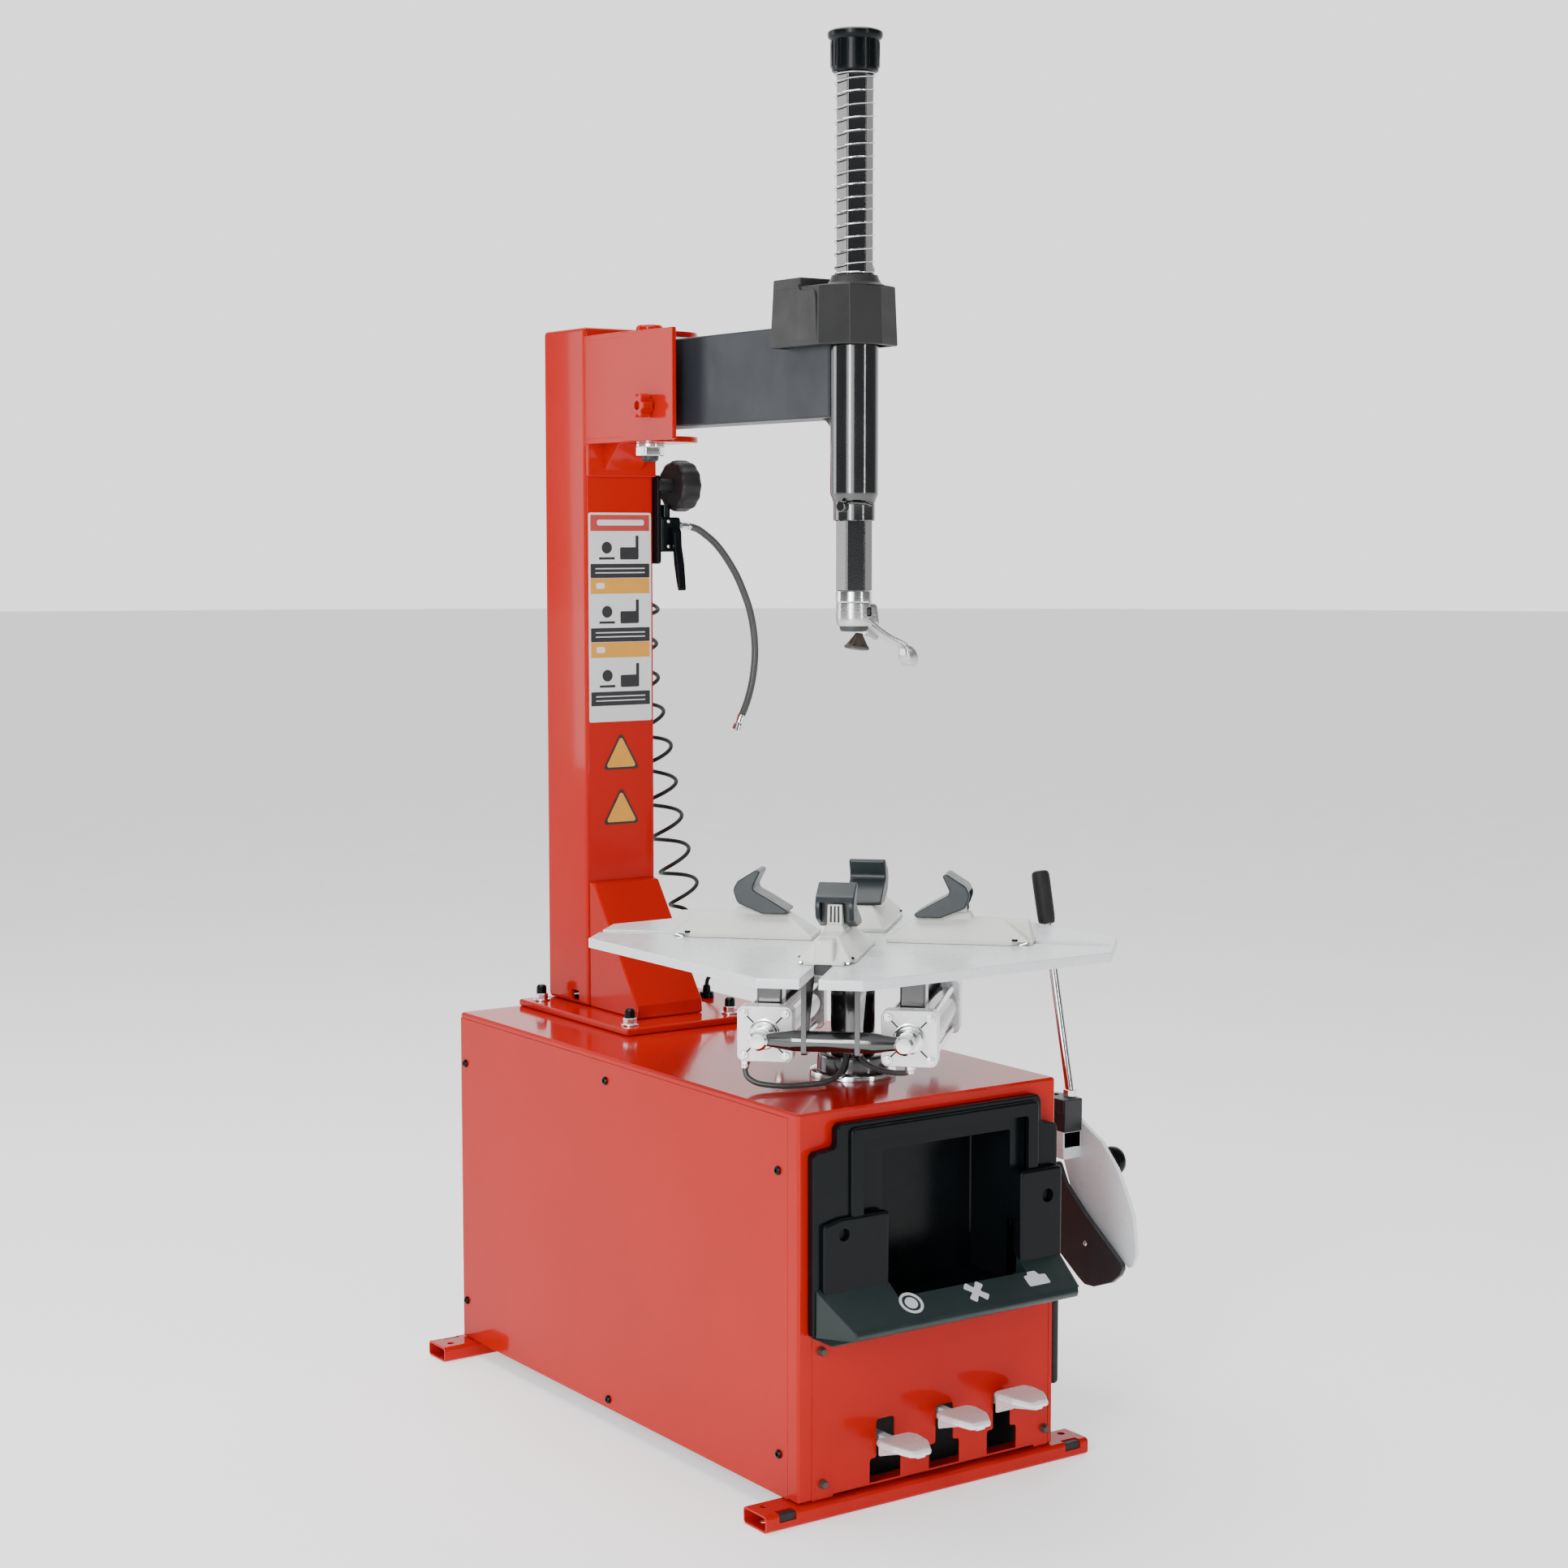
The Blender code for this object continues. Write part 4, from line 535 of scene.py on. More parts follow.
def refine(node, look, edge=0.0, angle=25):
    """The CAD solid's own shape with its flat faces joined up and its edges softened."""
    source = frame["nodes"][node]
    bm = bmesh.new()
    bm.from_mesh(source.data)
    bmesh.ops.remove_doubles(bm, verts=bm.verts, dist=0.000002)
    bmesh.ops.dissolve_limit(bm, angle_limit=math.radians(0.5), verts=bm.verts, edges=bm.edges)
    obj = shape(bm)
    if edge:
        bevel(obj, edge, 2, angle)
    return settle(node + "_skin", obj, source["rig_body"], look, node, place=SHIFT.inverted())


def screw_head(at, axis, radius, height):
    """A domed head with a dished socket, standing on a face."""
    return turned(((0.0, height * 0.45), (radius * 0.34, height * 0.5), (radius * 0.46, height),
            (radius * 0.72, height * 0.92), (radius, height * 0.45), (radius, -0.0005), (0.0, -0.0005)), at,
            axis, 24)


# ---------------------------------------------------------------- cabinet

def build_cabinet():
    """The cabinet with its panels, screws, foot beams and rubber pad."""
    refine("cabinet_shell", "red", 0.0011)
    refine("side_panel_left", "red", 0.0004)
    panel = block((-0.1795, FACE, BEAM_H + 0.001), (0.191, FACE + 0.0013, 0.2295), 0.0004)
    for x in PEDAL_X:
        wide, narrow = 0.0238, 0.014
        steps = ((x - wide, 0.0285), (x + wide, 0.0285), (x + wide, 0.059), (x + narrow, 0.059),
            (x + narrow, 0.107), (x - narrow, 0.107), (x - narrow, 0.059), (x - wide, 0.059))
        outline = rounded(steps, (0.001, 0.001, 0.0045, 0.003, 0.0045, 0.0045, 0.003, 0.0045))
        cut(panel, prism(outline, "XZ", FACE - 0.01, FACE + 0.01))
    cut(panel, block((-0.148, FACE - 0.01, 0.015), (0.168, FACE + 0.01, 0.0262)))
    settle("front_panel_skin", panel, "machine", "red", "front_panel")
    # a charcoal box behind the pedal slots: painted shade, so the cabinet's inside shows dark through them
    shade_box_parts = [block((-0.16, FACE + 0.09, 0.001), (0.172, FACE + 0.0905, 0.214)),
        block((-0.16, FACE + 0.053, 0.001), (0.172, FACE + 0.09, 0.0016)),
        block((-0.16, FACE + 0.004, 0.001), (-0.1595, FACE + 0.09, 0.214)),
        block((0.1715, FACE + 0.004, 0.001), (0.172, FACE + 0.09, 0.214))]
    settle("slot_shade_box", shade_box_parts, "machine", "charcoal")
    for end, y in (("front", FACE - BEAM_OUT), ("rear", BACK + BEAM_OUT - BEAM_D)):
        build_beam(end, y)
    sides = [screw_head((-HALF_W, y, z), (-1, 0, 0), 0.0056, 0.004) for y, z in ((0.411, 0.427),
        (0.019, 0.467), (-0.384, 0.425), (0.414, 0.077), (0.016, 0.0355), (-0.386, 0.075))]
    settle("side_panel_screws", sides, "machine", "plastic")
    fronts = [bar((x, FACE + 0.0005, z), (x, FACE - 0.0075, z), 0.0068, 0.0042, 6, 0.0008) for x,
        z in ((-0.166, 0.207), (-0.164, 0.042), (0.184, 0.045))]
    settle("front_panel_screws", fronts, "machine", "brown")
    refine("rubber_support_pad", "rubber", 0.0012)


def build_beam(end, y):
    """A foot beam: a rounded tube with its end notches, anchor holes and dark plugs."""
    wall = 0.0028
    box = rectangle(y, 0.0, y + BEAM_D, BEAM_H)
    inner = rectangle(y + wall, wall, y + BEAM_D - wall, BEAM_H - wall)
    beam = bevel(prism(rounded(box, 0.0052), "YZ", -BEAM_HALF, BEAM_HALF), 0.0007, 2, 60)
    cut(beam, prism(rounded(inner, 0.0032), "YZ", -1.0, 1.0))
    outside = y if end == "front" else y + BEAM_D
    inward = 1 if end == "front" else -1
    notches = []
    for x in (-0.221, 0.2265):
        reach = sorted((outside - 0.01 * inward, outside + 0.0115 * inward))
        cut(beam, block((x - 0.0125, reach[0], 0.0105), (x + 0.0125, reach[1], 0.03), 0.001))
        deep = sorted((outside + 0.0012 * inward, outside + 0.011 * inward))
        notches.append(block((x - 0.0118, deep[0], 0.01), (x + 0.0118, deep[1], BEAM_H - 0.0014), 0.0012))
        cut(beam, bar((math.copysign(0.234, x), y + BEAM_D / 2 + 0.008 * inward, -0.01),
            (math.copysign(0.234, x), y + BEAM_D / 2 + 0.008 * inward, 0.03), 0.0052))
    settle(f"foot_beam_{end}_skin", beam, "machine", "red", f"foot_beam_{end}")
    ends = [block((side * BEAM_HALF - side * 0.05 - 0.001, y + wall + 0.0002, wall + 0.0002),
        (side * BEAM_HALF - side * 0.05 + 0.001, y + BEAM_D - wall - 0.0002,
        BEAM_H - wall - 0.0002)) for side in (-1, 1)]
    settle(f"foot_plugs_{end}", notches + ends, "machine", "rubber")


SHELF_BACK, SHELF_LIP, SHELF_DEEP = 0.2935, 0.247, 0.0665    # heights of the tray's shelf, and its depth


def build_tray():
    """The moulded tool tray: flange, raised frame, stepped pocket, boss and sloping shelf."""
    outline = ((-0.187, 0.2265), (0.1915, 0.2265), (0.1915, 0.445), (0.165, 0.45), (0.165, 0.479),
        (0.159, 0.485), (-0.146, 0.485), (-0.152, 0.479), (-0.152, 0.457), (-0.182, 0.454), (-0.187, 0.449))
    radii = (0.008, 0.008, 0.009, 0.006, 0.009, 0.002, 0.006, 0.006, 0.006, 0.006, 0.004)
    flange = prism(rounded(outline, radii), "XZ", FACE - 0.014, FACE - GAP, 0.004, 4)
    pocket = block((-0.125, FACE - 0.01, 0.2415), (0.148, FACE + 0.075, 0.468))
    raised = prism(rounded(rectangle(-0.1345, 0.262, 0.158, 0.479), 0.008), "XZ", FACE - 0.0195,
                   FACE - 0.01, 0.0036, 4)
    plateau = prism(rounded(((-0.1765, 0.252), (-0.079, 0.252), (-0.079, 0.372), (-0.15, 0.372),
        (-0.1765, 0.366)), 0.005), "XZ", FACE - 0.0215, FACE - 0.008, 0.004, 4)
    boss = prism(rounded(rectangle(0.1225, 0.262, 0.19, 0.393), 0.0065), "XZ", FACE - 0.0265, FACE - 0.003,
                 0.004, 4)
    back = FACE - 0.005
    profile = ((back, SHELF_BACK), (back - SHELF_DEEP, SHELF_LIP), (FACE - 0.0745, 0.2415),
        (FACE - 0.07, 0.235), (FACE - 0.05, 0.2275), (back, 0.2275))
    shelf = prism(rounded(profile, (0.0, 0.004, 0.004, 0.008, 0.01, 0.0)), "YZ", -0.186, 0.1905)
    for vert in shelf.data.vertices:
        forward = max(0.0, FACE - 0.045 - vert.co.y) / 0.0295
        inset = 0.022 * forward ** 1.5
        vert.co.x += inset if vert.co.x < 0 else -0.6 * inset
    bevel(shelf, 0.0028, 3, 50)
    solids = [flange, pocket, raised, plateau, boss, shelf]
    for solid in solids:
        cut(solid, block((-0.0795, FACE - 0.1, 0.293), (0.1205, FACE + 0.072, 0.444), 0.003))
        cut(solid, block((-0.0795, FACE - 0.04, 0.253), (0.1205, FACE + 0.072, 0.296)))
    for solid in (flange, raised):
        cut(solid, block((-0.117, FACE - 0.1, 0.33), (0.14, FACE + 0.01, 0.461), 0.0045))
    cut(pocket, block((-0.15, FACE - 0.1, 0.32), (0.19, FACE - 0.0062, 0.48)))
    caps = []
    for x, z, radius, depth, holed in ((-0.1473, 0.3515, 0.0078, 0.013, (flange, pocket, plateau, raised)),
            (0.166, 0.357, 0.0088, 0.016, (flange, pocket, boss))):
        for solid in holed:
            cut(solid, bar((x, FACE - 0.04, z), (x, FACE + 0.01, z), radius))
        caps.append(bar((x, FACE - depth, z), (x, FACE - 0.0005, z), radius - 0.0004))
    solids.remove(shelf)
    settle("tray_shelf", shelf, "machine", "shelf", crisp=40)
    settle("tool_tray_skin", solids, "machine", "plastic", "tool_tray", crisp=40)
    settle("tray_fixings", caps, "machine", "rubber")
    build_icons()


def build_icons():
    """Plain raised marks on the shelf: a ring, a cross and a block."""
    slope = math.atan2(SHELF_BACK - SHELF_LIP, SHELF_DEEP)

    def on_shelf(x, forward):
        z = SHELF_BACK - (forward - 0.005) * math.tan(slope)
        return Matrix.Translation((x, FACE - forward, z)) @ Matrix.Rotation(slope, 4, "X")

    lift = 0.0007
    rings = [turned(((0.0125, lift), (0.016, lift), (0.016, -0.001), (0.0125, -0.001), (0.0125, lift))),
        turned(((0.0, lift), (0.0085, lift), (0.0085, -0.001), (0.0, -0.001)))]
    settle("shelf_mark_ring", rings, "machine", "paper", place=on_shelf(-0.068, 0.05))
    arms = rounded(star(4, ((27, 0.0175), (63, 0.0175), (90, 0.0055))), 0.0022)
    settle("shelf_mark_cross", prism(arms, "XY", -0.001, lift, 0.0004, 2), "machine", "paper",
        place=on_shelf(0.031, 0.052))
    tab = rounded(((-0.0165, -0.011), (0.0165, -0.011), (0.0165, 0.004), (0.007, 0.004), (0.004, 0.011),
        (-0.008, 0.011), (-0.01, 0.006), (-0.0165, 0.006)), 0.0022)
    settle("shelf_mark_block", prism(tab, "XY", -0.001, lift, 0.0004, 2), "machine", "paper",
        place=on_shelf(0.128, 0.05))


# ---------------------------------------------------------------- column

def build_column():
    """The column on its bolted plate, with its gusset and label."""
    refine("column_base_plate", "red", 0.0008)
    refine("column", "red", 0.0026)
    refine("column_gusset", "red", 0.001)
    nuts, caps = [], []
    for x in (-0.083, 0.083):
        for y in (0.148, 0.395):
            z = PLATE_TOP
            nuts.append(bar((x, y, z), (x, y, z + 0.0022), 0.0125, sides=32, edge=0.0006))
            nuts.append(bar((x, y, z + 0.002), (x, y, z + 0.0105), 0.0098, sides=6, edge=0.001))
            caps.append(turned(((0.0, 0.0135), (0.0048, 0.013), (0.0072, 0.0105), (0.0076, 0.0),
                (0.0, 0.0)), (x, y, z + 0.01), steps=32))
    settle("base_nuts", nuts, "machine", "bright")
    settle("base_nut_caps", caps, "machine", "plastic")
    build_label()


def build_label():
    """A plain label of coloured bands with abstract marks, and two blank triangles under it."""
    half, top, bottom = 0.052, 1.218, 0.92
    front = COL_FACE

    def plate(x0, x1, z0, z1, proud, edge=0.0008):
        return prism(rounded(rectangle(x0, z0, x1, z1), edge), "XZ", front - proud, front + 0.0002)

    settle("label_sheet", plate(-half, half, bottom, top, 0.00035, 0.003), "machine", "paper")
    inner = half - 0.003
    settle("label_header", plate(-inner, inner, top - 0.026, top - 0.003, 0.0006), "machine", "print_red")
    blacks, ambers, marks, lines = [], [], [], []
    pitch = 0.0912                                  # from one panel of the label to the next
    for index in range(3):
        z = top - 0.0265 - pitch * index
        last = index == 2
        blacks.append(plate(-inner, inner, z - 0.066, z - 0.046, 0.0006))
        if not last:
            ambers.append(plate(-inner, inner, z - 0.0885, z - 0.0665, 0.0006))
        blacks.append(plate(0.0, 0.031, z - 0.04, z - 0.0225, 0.0006, 0.002))
        blacks.append(plate(0.026, 0.031, z - 0.023, z - 0.006, 0.0006))
        marks.append(bar((-0.022, front + 0.0002, z - 0.023), (-0.022, front - 0.0006, z - 0.023), 0.0085))
        marks.append(plate(-0.035, -0.009, z - 0.04, z - 0.0365, 0.0006, 0.001))
        for row in range(2):
            lines.append(plate(-inner + 0.008, inner - 0.008, z - 0.0535 - row * 0.006,
                z - 0.052 - row * 0.006, 0.0008, 0.0005))
        if not last:
            lines.append(plate(-0.04, -0.026, z - 0.0815, z - 0.073, 0.0008, 0.003))
    lines.append(plate(-0.038, 0.04, top - 0.018, top - 0.01, 0.0008, 0.003))
    settle("label_black_bands", blacks + marks, "machine", "print_black")
    settle("label_amber_bands", ambers, "machine", "print_amber")
    settle("label_light_bars", lines, "machine", "paper")
    rims, fills = [], []
    for z in (0.877, 0.798):
        rims.append(prism(rounded(((-0.031, z - 0.026), (0.031, z - 0.026), (0.0, z + 0.028)), 0.004), "XZ",
            front - 0.0004, front + 0.0002))
        fills.append(prism(rounded(((-0.0255, z - 0.0228), (0.0255, z - 0.0228), (0.0, z + 0.022)), 0.003),
            "XZ", front - 0.0007, front + 0.0002))
    settle("triangle_rims", rims, "machine", "print_black")
    settle("triangle_fills", fills, "machine", "print_amber")


def build_bracket():
    """The open box that holds the arm: two round-ended plates, a back, one side and a rib."""
    face = COL_FACE - GAP
    half = COL_HALF
    plan = [(-half, face - 0.001), *arc((0, 0.205), half, 180, 360, 48), (half, face - 0.001)]
    top = prism(plan, "XY", BRACKET_HIGH - 0.008, BRACKET_HIGH, 0.0012)
    floor = prism(plan, "XY", BRACKET_LOW, BRACKET_LOW + 0.008, 0.0012)
    back = block((-half + 0.001, face - 0.008, BRACKET_LOW - 0.045), (half - 0.001, face,
                                                                      BRACKET_HIGH - 0.002), 0.0015)
    side = block((-half + GAP, BRACKET_FRONT, BRACKET_LOW + 0.001), (-half + 0.007, face - 0.002,
        BRACKET_HIGH - 0.001), 0.0012)
    rib = prism(((face - 0.004, BRACKET_LOW + 0.004), (0.25, BRACKET_LOW + 0.004),
        (face - 0.006, BRACKET_LOW - 0.038)), "YZ", -0.03, 0.03, 0.0012)
    for plate in (top, floor):
        cut(plate, bar((0, PIVOT_Y, 1.25), (0, PIVOT_Y, 1.5), PIVOT_BORE))
    welds = [bar((x, face - 0.004, BRACKET_LOW - 0.04), (x, face - 0.004, BRACKET_LOW - 0.004), 0.0028,
        sides=16, edge=0.001) for x in (-half + 0.008, -half + 0.015)]
    bead = [bar((-half + 0.0015, face - 0.001, BRACKET_LOW - 0.002),
        (-half + 0.0015, face - 0.001, COL_TOP - 0.016), 0.0024, sides=16)]
    settle("arm_bracket_skin", [top, floor, back, side, rib, *welds, *bead], "machine", "red",
           "arm_bracket")


def build_pivot():
    """The pin that the arm swings about, with its nut and washer."""
    head = turned(((0.0, COL_TOP), (0.01, COL_TOP), (0.0172, COL_TOP - 0.0012), (0.019, COL_TOP - 0.0038),
        (0.019, BRACKET_HIGH + GAP), (0.012, BRACKET_HIGH + GAP), (0.012, 1.3), (0.0, 1.3)),
        (0, PIVOT_Y, 0))
    nut = bar((0, PIVOT_Y, 1.2962), (0, PIVOT_Y, 1.3095), 0.0205, sides=6, edge=0.0016,
              turn=math.radians(10))
    washer = bar((0, PIVOT_Y, 1.309), (0, PIVOT_Y, BRACKET_LOW - GAP), 0.0215, edge=0.0006)
    settle("pivot_head", head, "machine", "red")
    settle("arm_pivot_pin_skin", [nut, washer], "machine", "bright", "arm_pivot_pin")
    stub = turned(((0.0, 1.2992), (0.0125, 1.2992), (0.0118, 1.2915), (0.0085, 1.2885), (0.0, 1.2885)),
                  (0, PIVOT_Y, 0))
    settle("pivot_thread_end", stub, "machine", "charcoal")


def build_stop_knob():
    """The star knob of the screw that stops the arm's swing."""
    y, z = 0.131, 1.361                             # axis of the stop knob
    lobes = star(6, ((-13, 0.0172), (13, 0.0172), (30, 0.0108)), (y, z))
    grip = prism(rounded(lobes, 0.0024), "YZ", -0.0775, -0.0615, 0.0016)
    cut(grip, bar((-0.09, y, z), (-0.067, y, z), 0.0072, sides=6))
    collar = bar((-0.0625, y, z), (-0.0575, y, z), 0.0125, edge=0.001)
    stem = bar((-0.072, y + 0.004, z), (-0.0315, y + 0.004, z), 0.0056)
    settle("arm_stop_knob", [grip, collar, stem], "machine", "red", "arm_stop_screw")


# ---------------------------------------------------------------- swing arm

def build_arm():
    """The square beam with its pivot eye, and the round sleeve that the shaft slides in."""
    y = TABLE_Y
    beam = block((-ARM_HALF, y + 0.012, ARM_LOW), (ARM_HALF, PIVOT_Y, ARM_HIGH), 0.0028, segments=4)
    eye = bar((0, PIVOT_Y, BRACKET_LOW + 0.0085), (0, PIVOT_Y, BRACKET_HIGH - 0.0085), 0.036, sides=64,
              edge=0.001)
    for solid in (beam, eye):
        cut(solid, bar((0, PIVOT_Y, 1.25), (0, PIVOT_Y, 1.5), PIVOT_BORE))
    flare = [(y + 0.01, ARM_LOW + 0.02), (-0.19, ARM_LOW + 0.02), (-0.19, ARM_LOW + 0.001),
        *arc((-0.2, ARM_LOW - 0.031), 0.032, 90, 160, 12), (y + 0.027, 1.27), (y + 0.01, 1.266)]
    web = prism(flare, "YZ", -0.012, 0.012, 0.0015)
    settle("swing_arm_beam", [beam, eye, web], "arm", "slate")
    inside = HEX_AF / math.sqrt(3) + 0.0012
    sleeve = turned(((inside, 1.47), (SLEEVE_R - 0.001, 1.47), (SLEEVE_R, 1.469),
        (SLEEVE_R, SLEEVE_LOW + 0.005), (SLEEVE_R - 0.0006, SLEEVE_LOW + 0.002),
        (SLEEVE_R - 0.0024, SLEEVE_LOW - 0.002), (COLLAR_R + 0.0006, SLEEVE_LOW - 0.0055),
        (COLLAR_R, SLEEVE_LOW - 0.0075), (COLLAR_R, COLLAR_LOW + 0.0012), (COLLAR_R - 0.0012, COLLAR_LOW),
        (inside, COLLAR_LOW), (inside, 1.47)), (0, y, 0), steps=96)
    boss = bar((-0.031, y - 0.013, 1.222), (-0.01, y - 0.006, 1.222), 0.0072, sides=32, edge=0.0018)
    strap = sweep(smooth_route(((-0.0262, y - 0.0095, 1.2258), (-0.018, y - 0.0225, 1.2268),
        (-0.005, y - 0.0285, 1.2262), (0.006, y - 0.0275, 1.224)), 0.002), ring(0.0022, 10))
    settle("arm_sleeve", [sleeve, boss, strap], "arm", "black_gloss", "swing_arm")


def tapered(obj, low, high, share):
    """Draws in the piece's upper rim, as a moulding's draft does."""
    rim = [vert for vert in obj.data.vertices if vert.co.z > (low + high) / 2]
    xs, ys = [v.co.x for v in rim], [v.co.y for v in rim]
    middle_x, middle_y = (min(xs) + max(xs)) / 2, (min(ys) + max(ys)) / 2
    for vert in rim:
        vert.co.x = middle_x + (vert.co.x - middle_x) * share
        vert.co.y = middle_y + (vert.co.y - middle_y) * share
    return obj


def build_lock():
    """The moulded cover round the top of the sleeve, and the bent lever that locks the shaft."""
    half, back, step = 0.052, -0.15, -0.214
    shoulder, nose_top = COVER_TOP - 0.017, COVER_TOP - 0.012
    corners = ((-half, back), (-half, -0.257), (-0.034, -0.2995), (0.0125, -0.303), (half, -0.283),
               (half, back))
    body = tapered(prism(rounded(corners, 0.0022, 4), "XY", COVER_LOW, nose_top), COVER_LOW, nose_top,
                   0.955)
    bevel(body, 0.0024, 3, 50)
    tall_plan = ((-half + 0.0012, back - 0.0006), (-half + 0.0012, step), (half - 0.003, step),
                 (half - 0.003, back - 0.0006))
    tall = tapered(prism(rounded(tall_plan, 0.0022, 4), "XY", COVER_LOW + 0.004, COVER_TOP), COVER_LOW,
                   COVER_TOP, 0.95)
    bevel(tall, 0.0022, 3, 50)
    arris = prism(rounded(((step + 0.004, COVER_LOW + 0.006), (-0.2535, COVER_LOW + 0.006),
        (-0.25, shoulder), (step - 0.002, shoulder), (step + 0.004, COVER_TOP - 0.003)),
        (0, 0.001, 0.01, 0.004, 0.002)), "YZ", -half - 0.0002, -0.034, 0.0016)
    crown = turned(((0.0256, COVER_TOP + 0.0004), (0.029, COVER_TOP + 0.0002), (0.03, COVER_TOP - 0.003),
        (0.033, nose_top + 0.003), (0.04, nose_top - 0.001), (0.0256, nose_top - 0.001),
        (0.0256, COVER_TOP + 0.0004)), (0, TABLE_Y, 0), steps=72)
    inner = ((-0.0465, back - 0.006), (-0.0465, -0.255), (-0.03, -0.295), (0.011, -0.297), (0.0465, -0.28),
        (0.0465, back - 0.006))
    for solid in (body, tall, arris):
        cut(solid, prism(inner, "XY", COVER_LOW - 0.01, nose_top - 0.0045),
            block((-ARM_HALF - 0.001, back - 0.05, COVER_LOW - 0.01),
            (ARM_HALF + 0.001, back + 0.05, ARM_HIGH + 0.001)), bar((0, TABLE_Y, 1.43), (0, TABLE_Y, 1.53),
            0.0254 if solid is not body else 0.031, sides=72))
    lug = block((0.034, -0.2305, nose_top - 0.002), (0.0392, -0.2195, COVER_TOP + 0.0133), 0.0014)
    settle("lock_cover_skin", [body, tall, arris, crown, lug], "arm", "cover", "lock_cover")
    place = Matrix.Translation((0, -0.222, COVER_TOP + 0.0088))
    strip = rounded(rectangle(-0.005, -0.0012, 0.005, 0.0012), 0.0008, 3)
    hook = sweep(smooth_route(((0.0285, -0.01, 0.0126), (0.036, -0.01, 0.0128), (0.043, -0.01, 0.0112),
        (0.0478, -0.01, 0.0062), (0.0492, -0.01, 0.0), (0.0492, -0.006, -0.003)), 0.0015), strip,
        across=(0, 1, 0))
    tail = sweep(smooth_route(((0.03, -0.01, 0.0124), (0.029, 0.0, 0.0122), (0.027, 0.012, 0.0128),
        (0.028, 0.026, 0.0122), (0.03, 0.036, 0.0092)), 0.002), strip, across=(1, 0, 0))
    roll = bar((0.04, -0.003, -0.001), (0.05, -0.003, -0.001), 0.0052, sides=32, edge=0.0006)
    settle("lock_lever_skin", [hook, tail, roll], "lever", "bright", "lock_lever", place=place)


def build_shaft():
    """The hexagonal shaft with its cap, spring and mounting head."""
    y = TABLE_Y
    shaft = bar((0, y, HEAD_TOP + GAP), (0, y, CAP_LOW - GAP), HEX_AF / math.sqrt(3), sides=6)
    bevel(shaft, 0.0014, 4, 40)
    settle("hex_shaft_skin", shaft, "shaft", "black_gloss", "hex_shaft")
    cap = turned(((0.0, CAP_TOP), (0.0295, CAP_TOP), (0.0325, CAP_TOP - 0.0008), (0.0345, CAP_TOP - 0.0028),
        (0.0345, CAP_TOP - 0.0072), (0.033, CAP_TOP - 0.0098), (0.03, CAP_TOP - 0.0125),
        (0.0298, CAP_TOP - 0.02), (0.0302, CAP_LOW + 0.006), (0.029, CAP_LOW + 0.0014), (0.0272, CAP_LOW),
        (0.0, CAP_LOW)), (0, y, 0), steps=96)
    ribs = [block((0.029, -0.0008, CAP_LOW + 0.006), (0.0308, 0.0008, CAP_TOP - 0.013),
                  0.0004) for _ in range(20)]
    for index, rib in enumerate(ribs):
        rib.data.transform(Matrix.Translation((0, y, 0)) @ Matrix.Rotation(2 * math.pi * index / len(ribs),
                                                                           4, "Z"))
    settle("shaft_cap_skin", [cap, *ribs], "shaft", "plastic", "shaft_cap")
    build_spring()
    build_head()


def build_spring():
    """The return spring, a coil between the lock cover and the shaft cap."""
    wire, radius, turns, per_turn = 0.0019, 0.0247, 17, 32
    low = COVER_TOP + wire / 2 + 0.0006
    high = CAP_LOW - wire / 2 - 0.0005
    count = turns * per_turn
    closed = per_turn                           # a dead turn at each end
    coil = []
    for i in range(count + 1):
        turn = 2 * math.pi * i / per_turn
        active = min(max(i - closed, 0), count - 2 * closed) / (count - 2 * closed)
        dead = wire * (min(i, closed) + max(0, i - count + closed)) / per_turn
        height = low + dead + active * (high - low - 2 * wire)
        coil.append((radius * math.cos(turn), TABLE_Y + radius * math.sin(turn), height))
    spring = settle("return_spring_skin", sweep(coil, ring(wire / 2, 8)), "arm", "bright", "return_spring")
    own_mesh(spring)


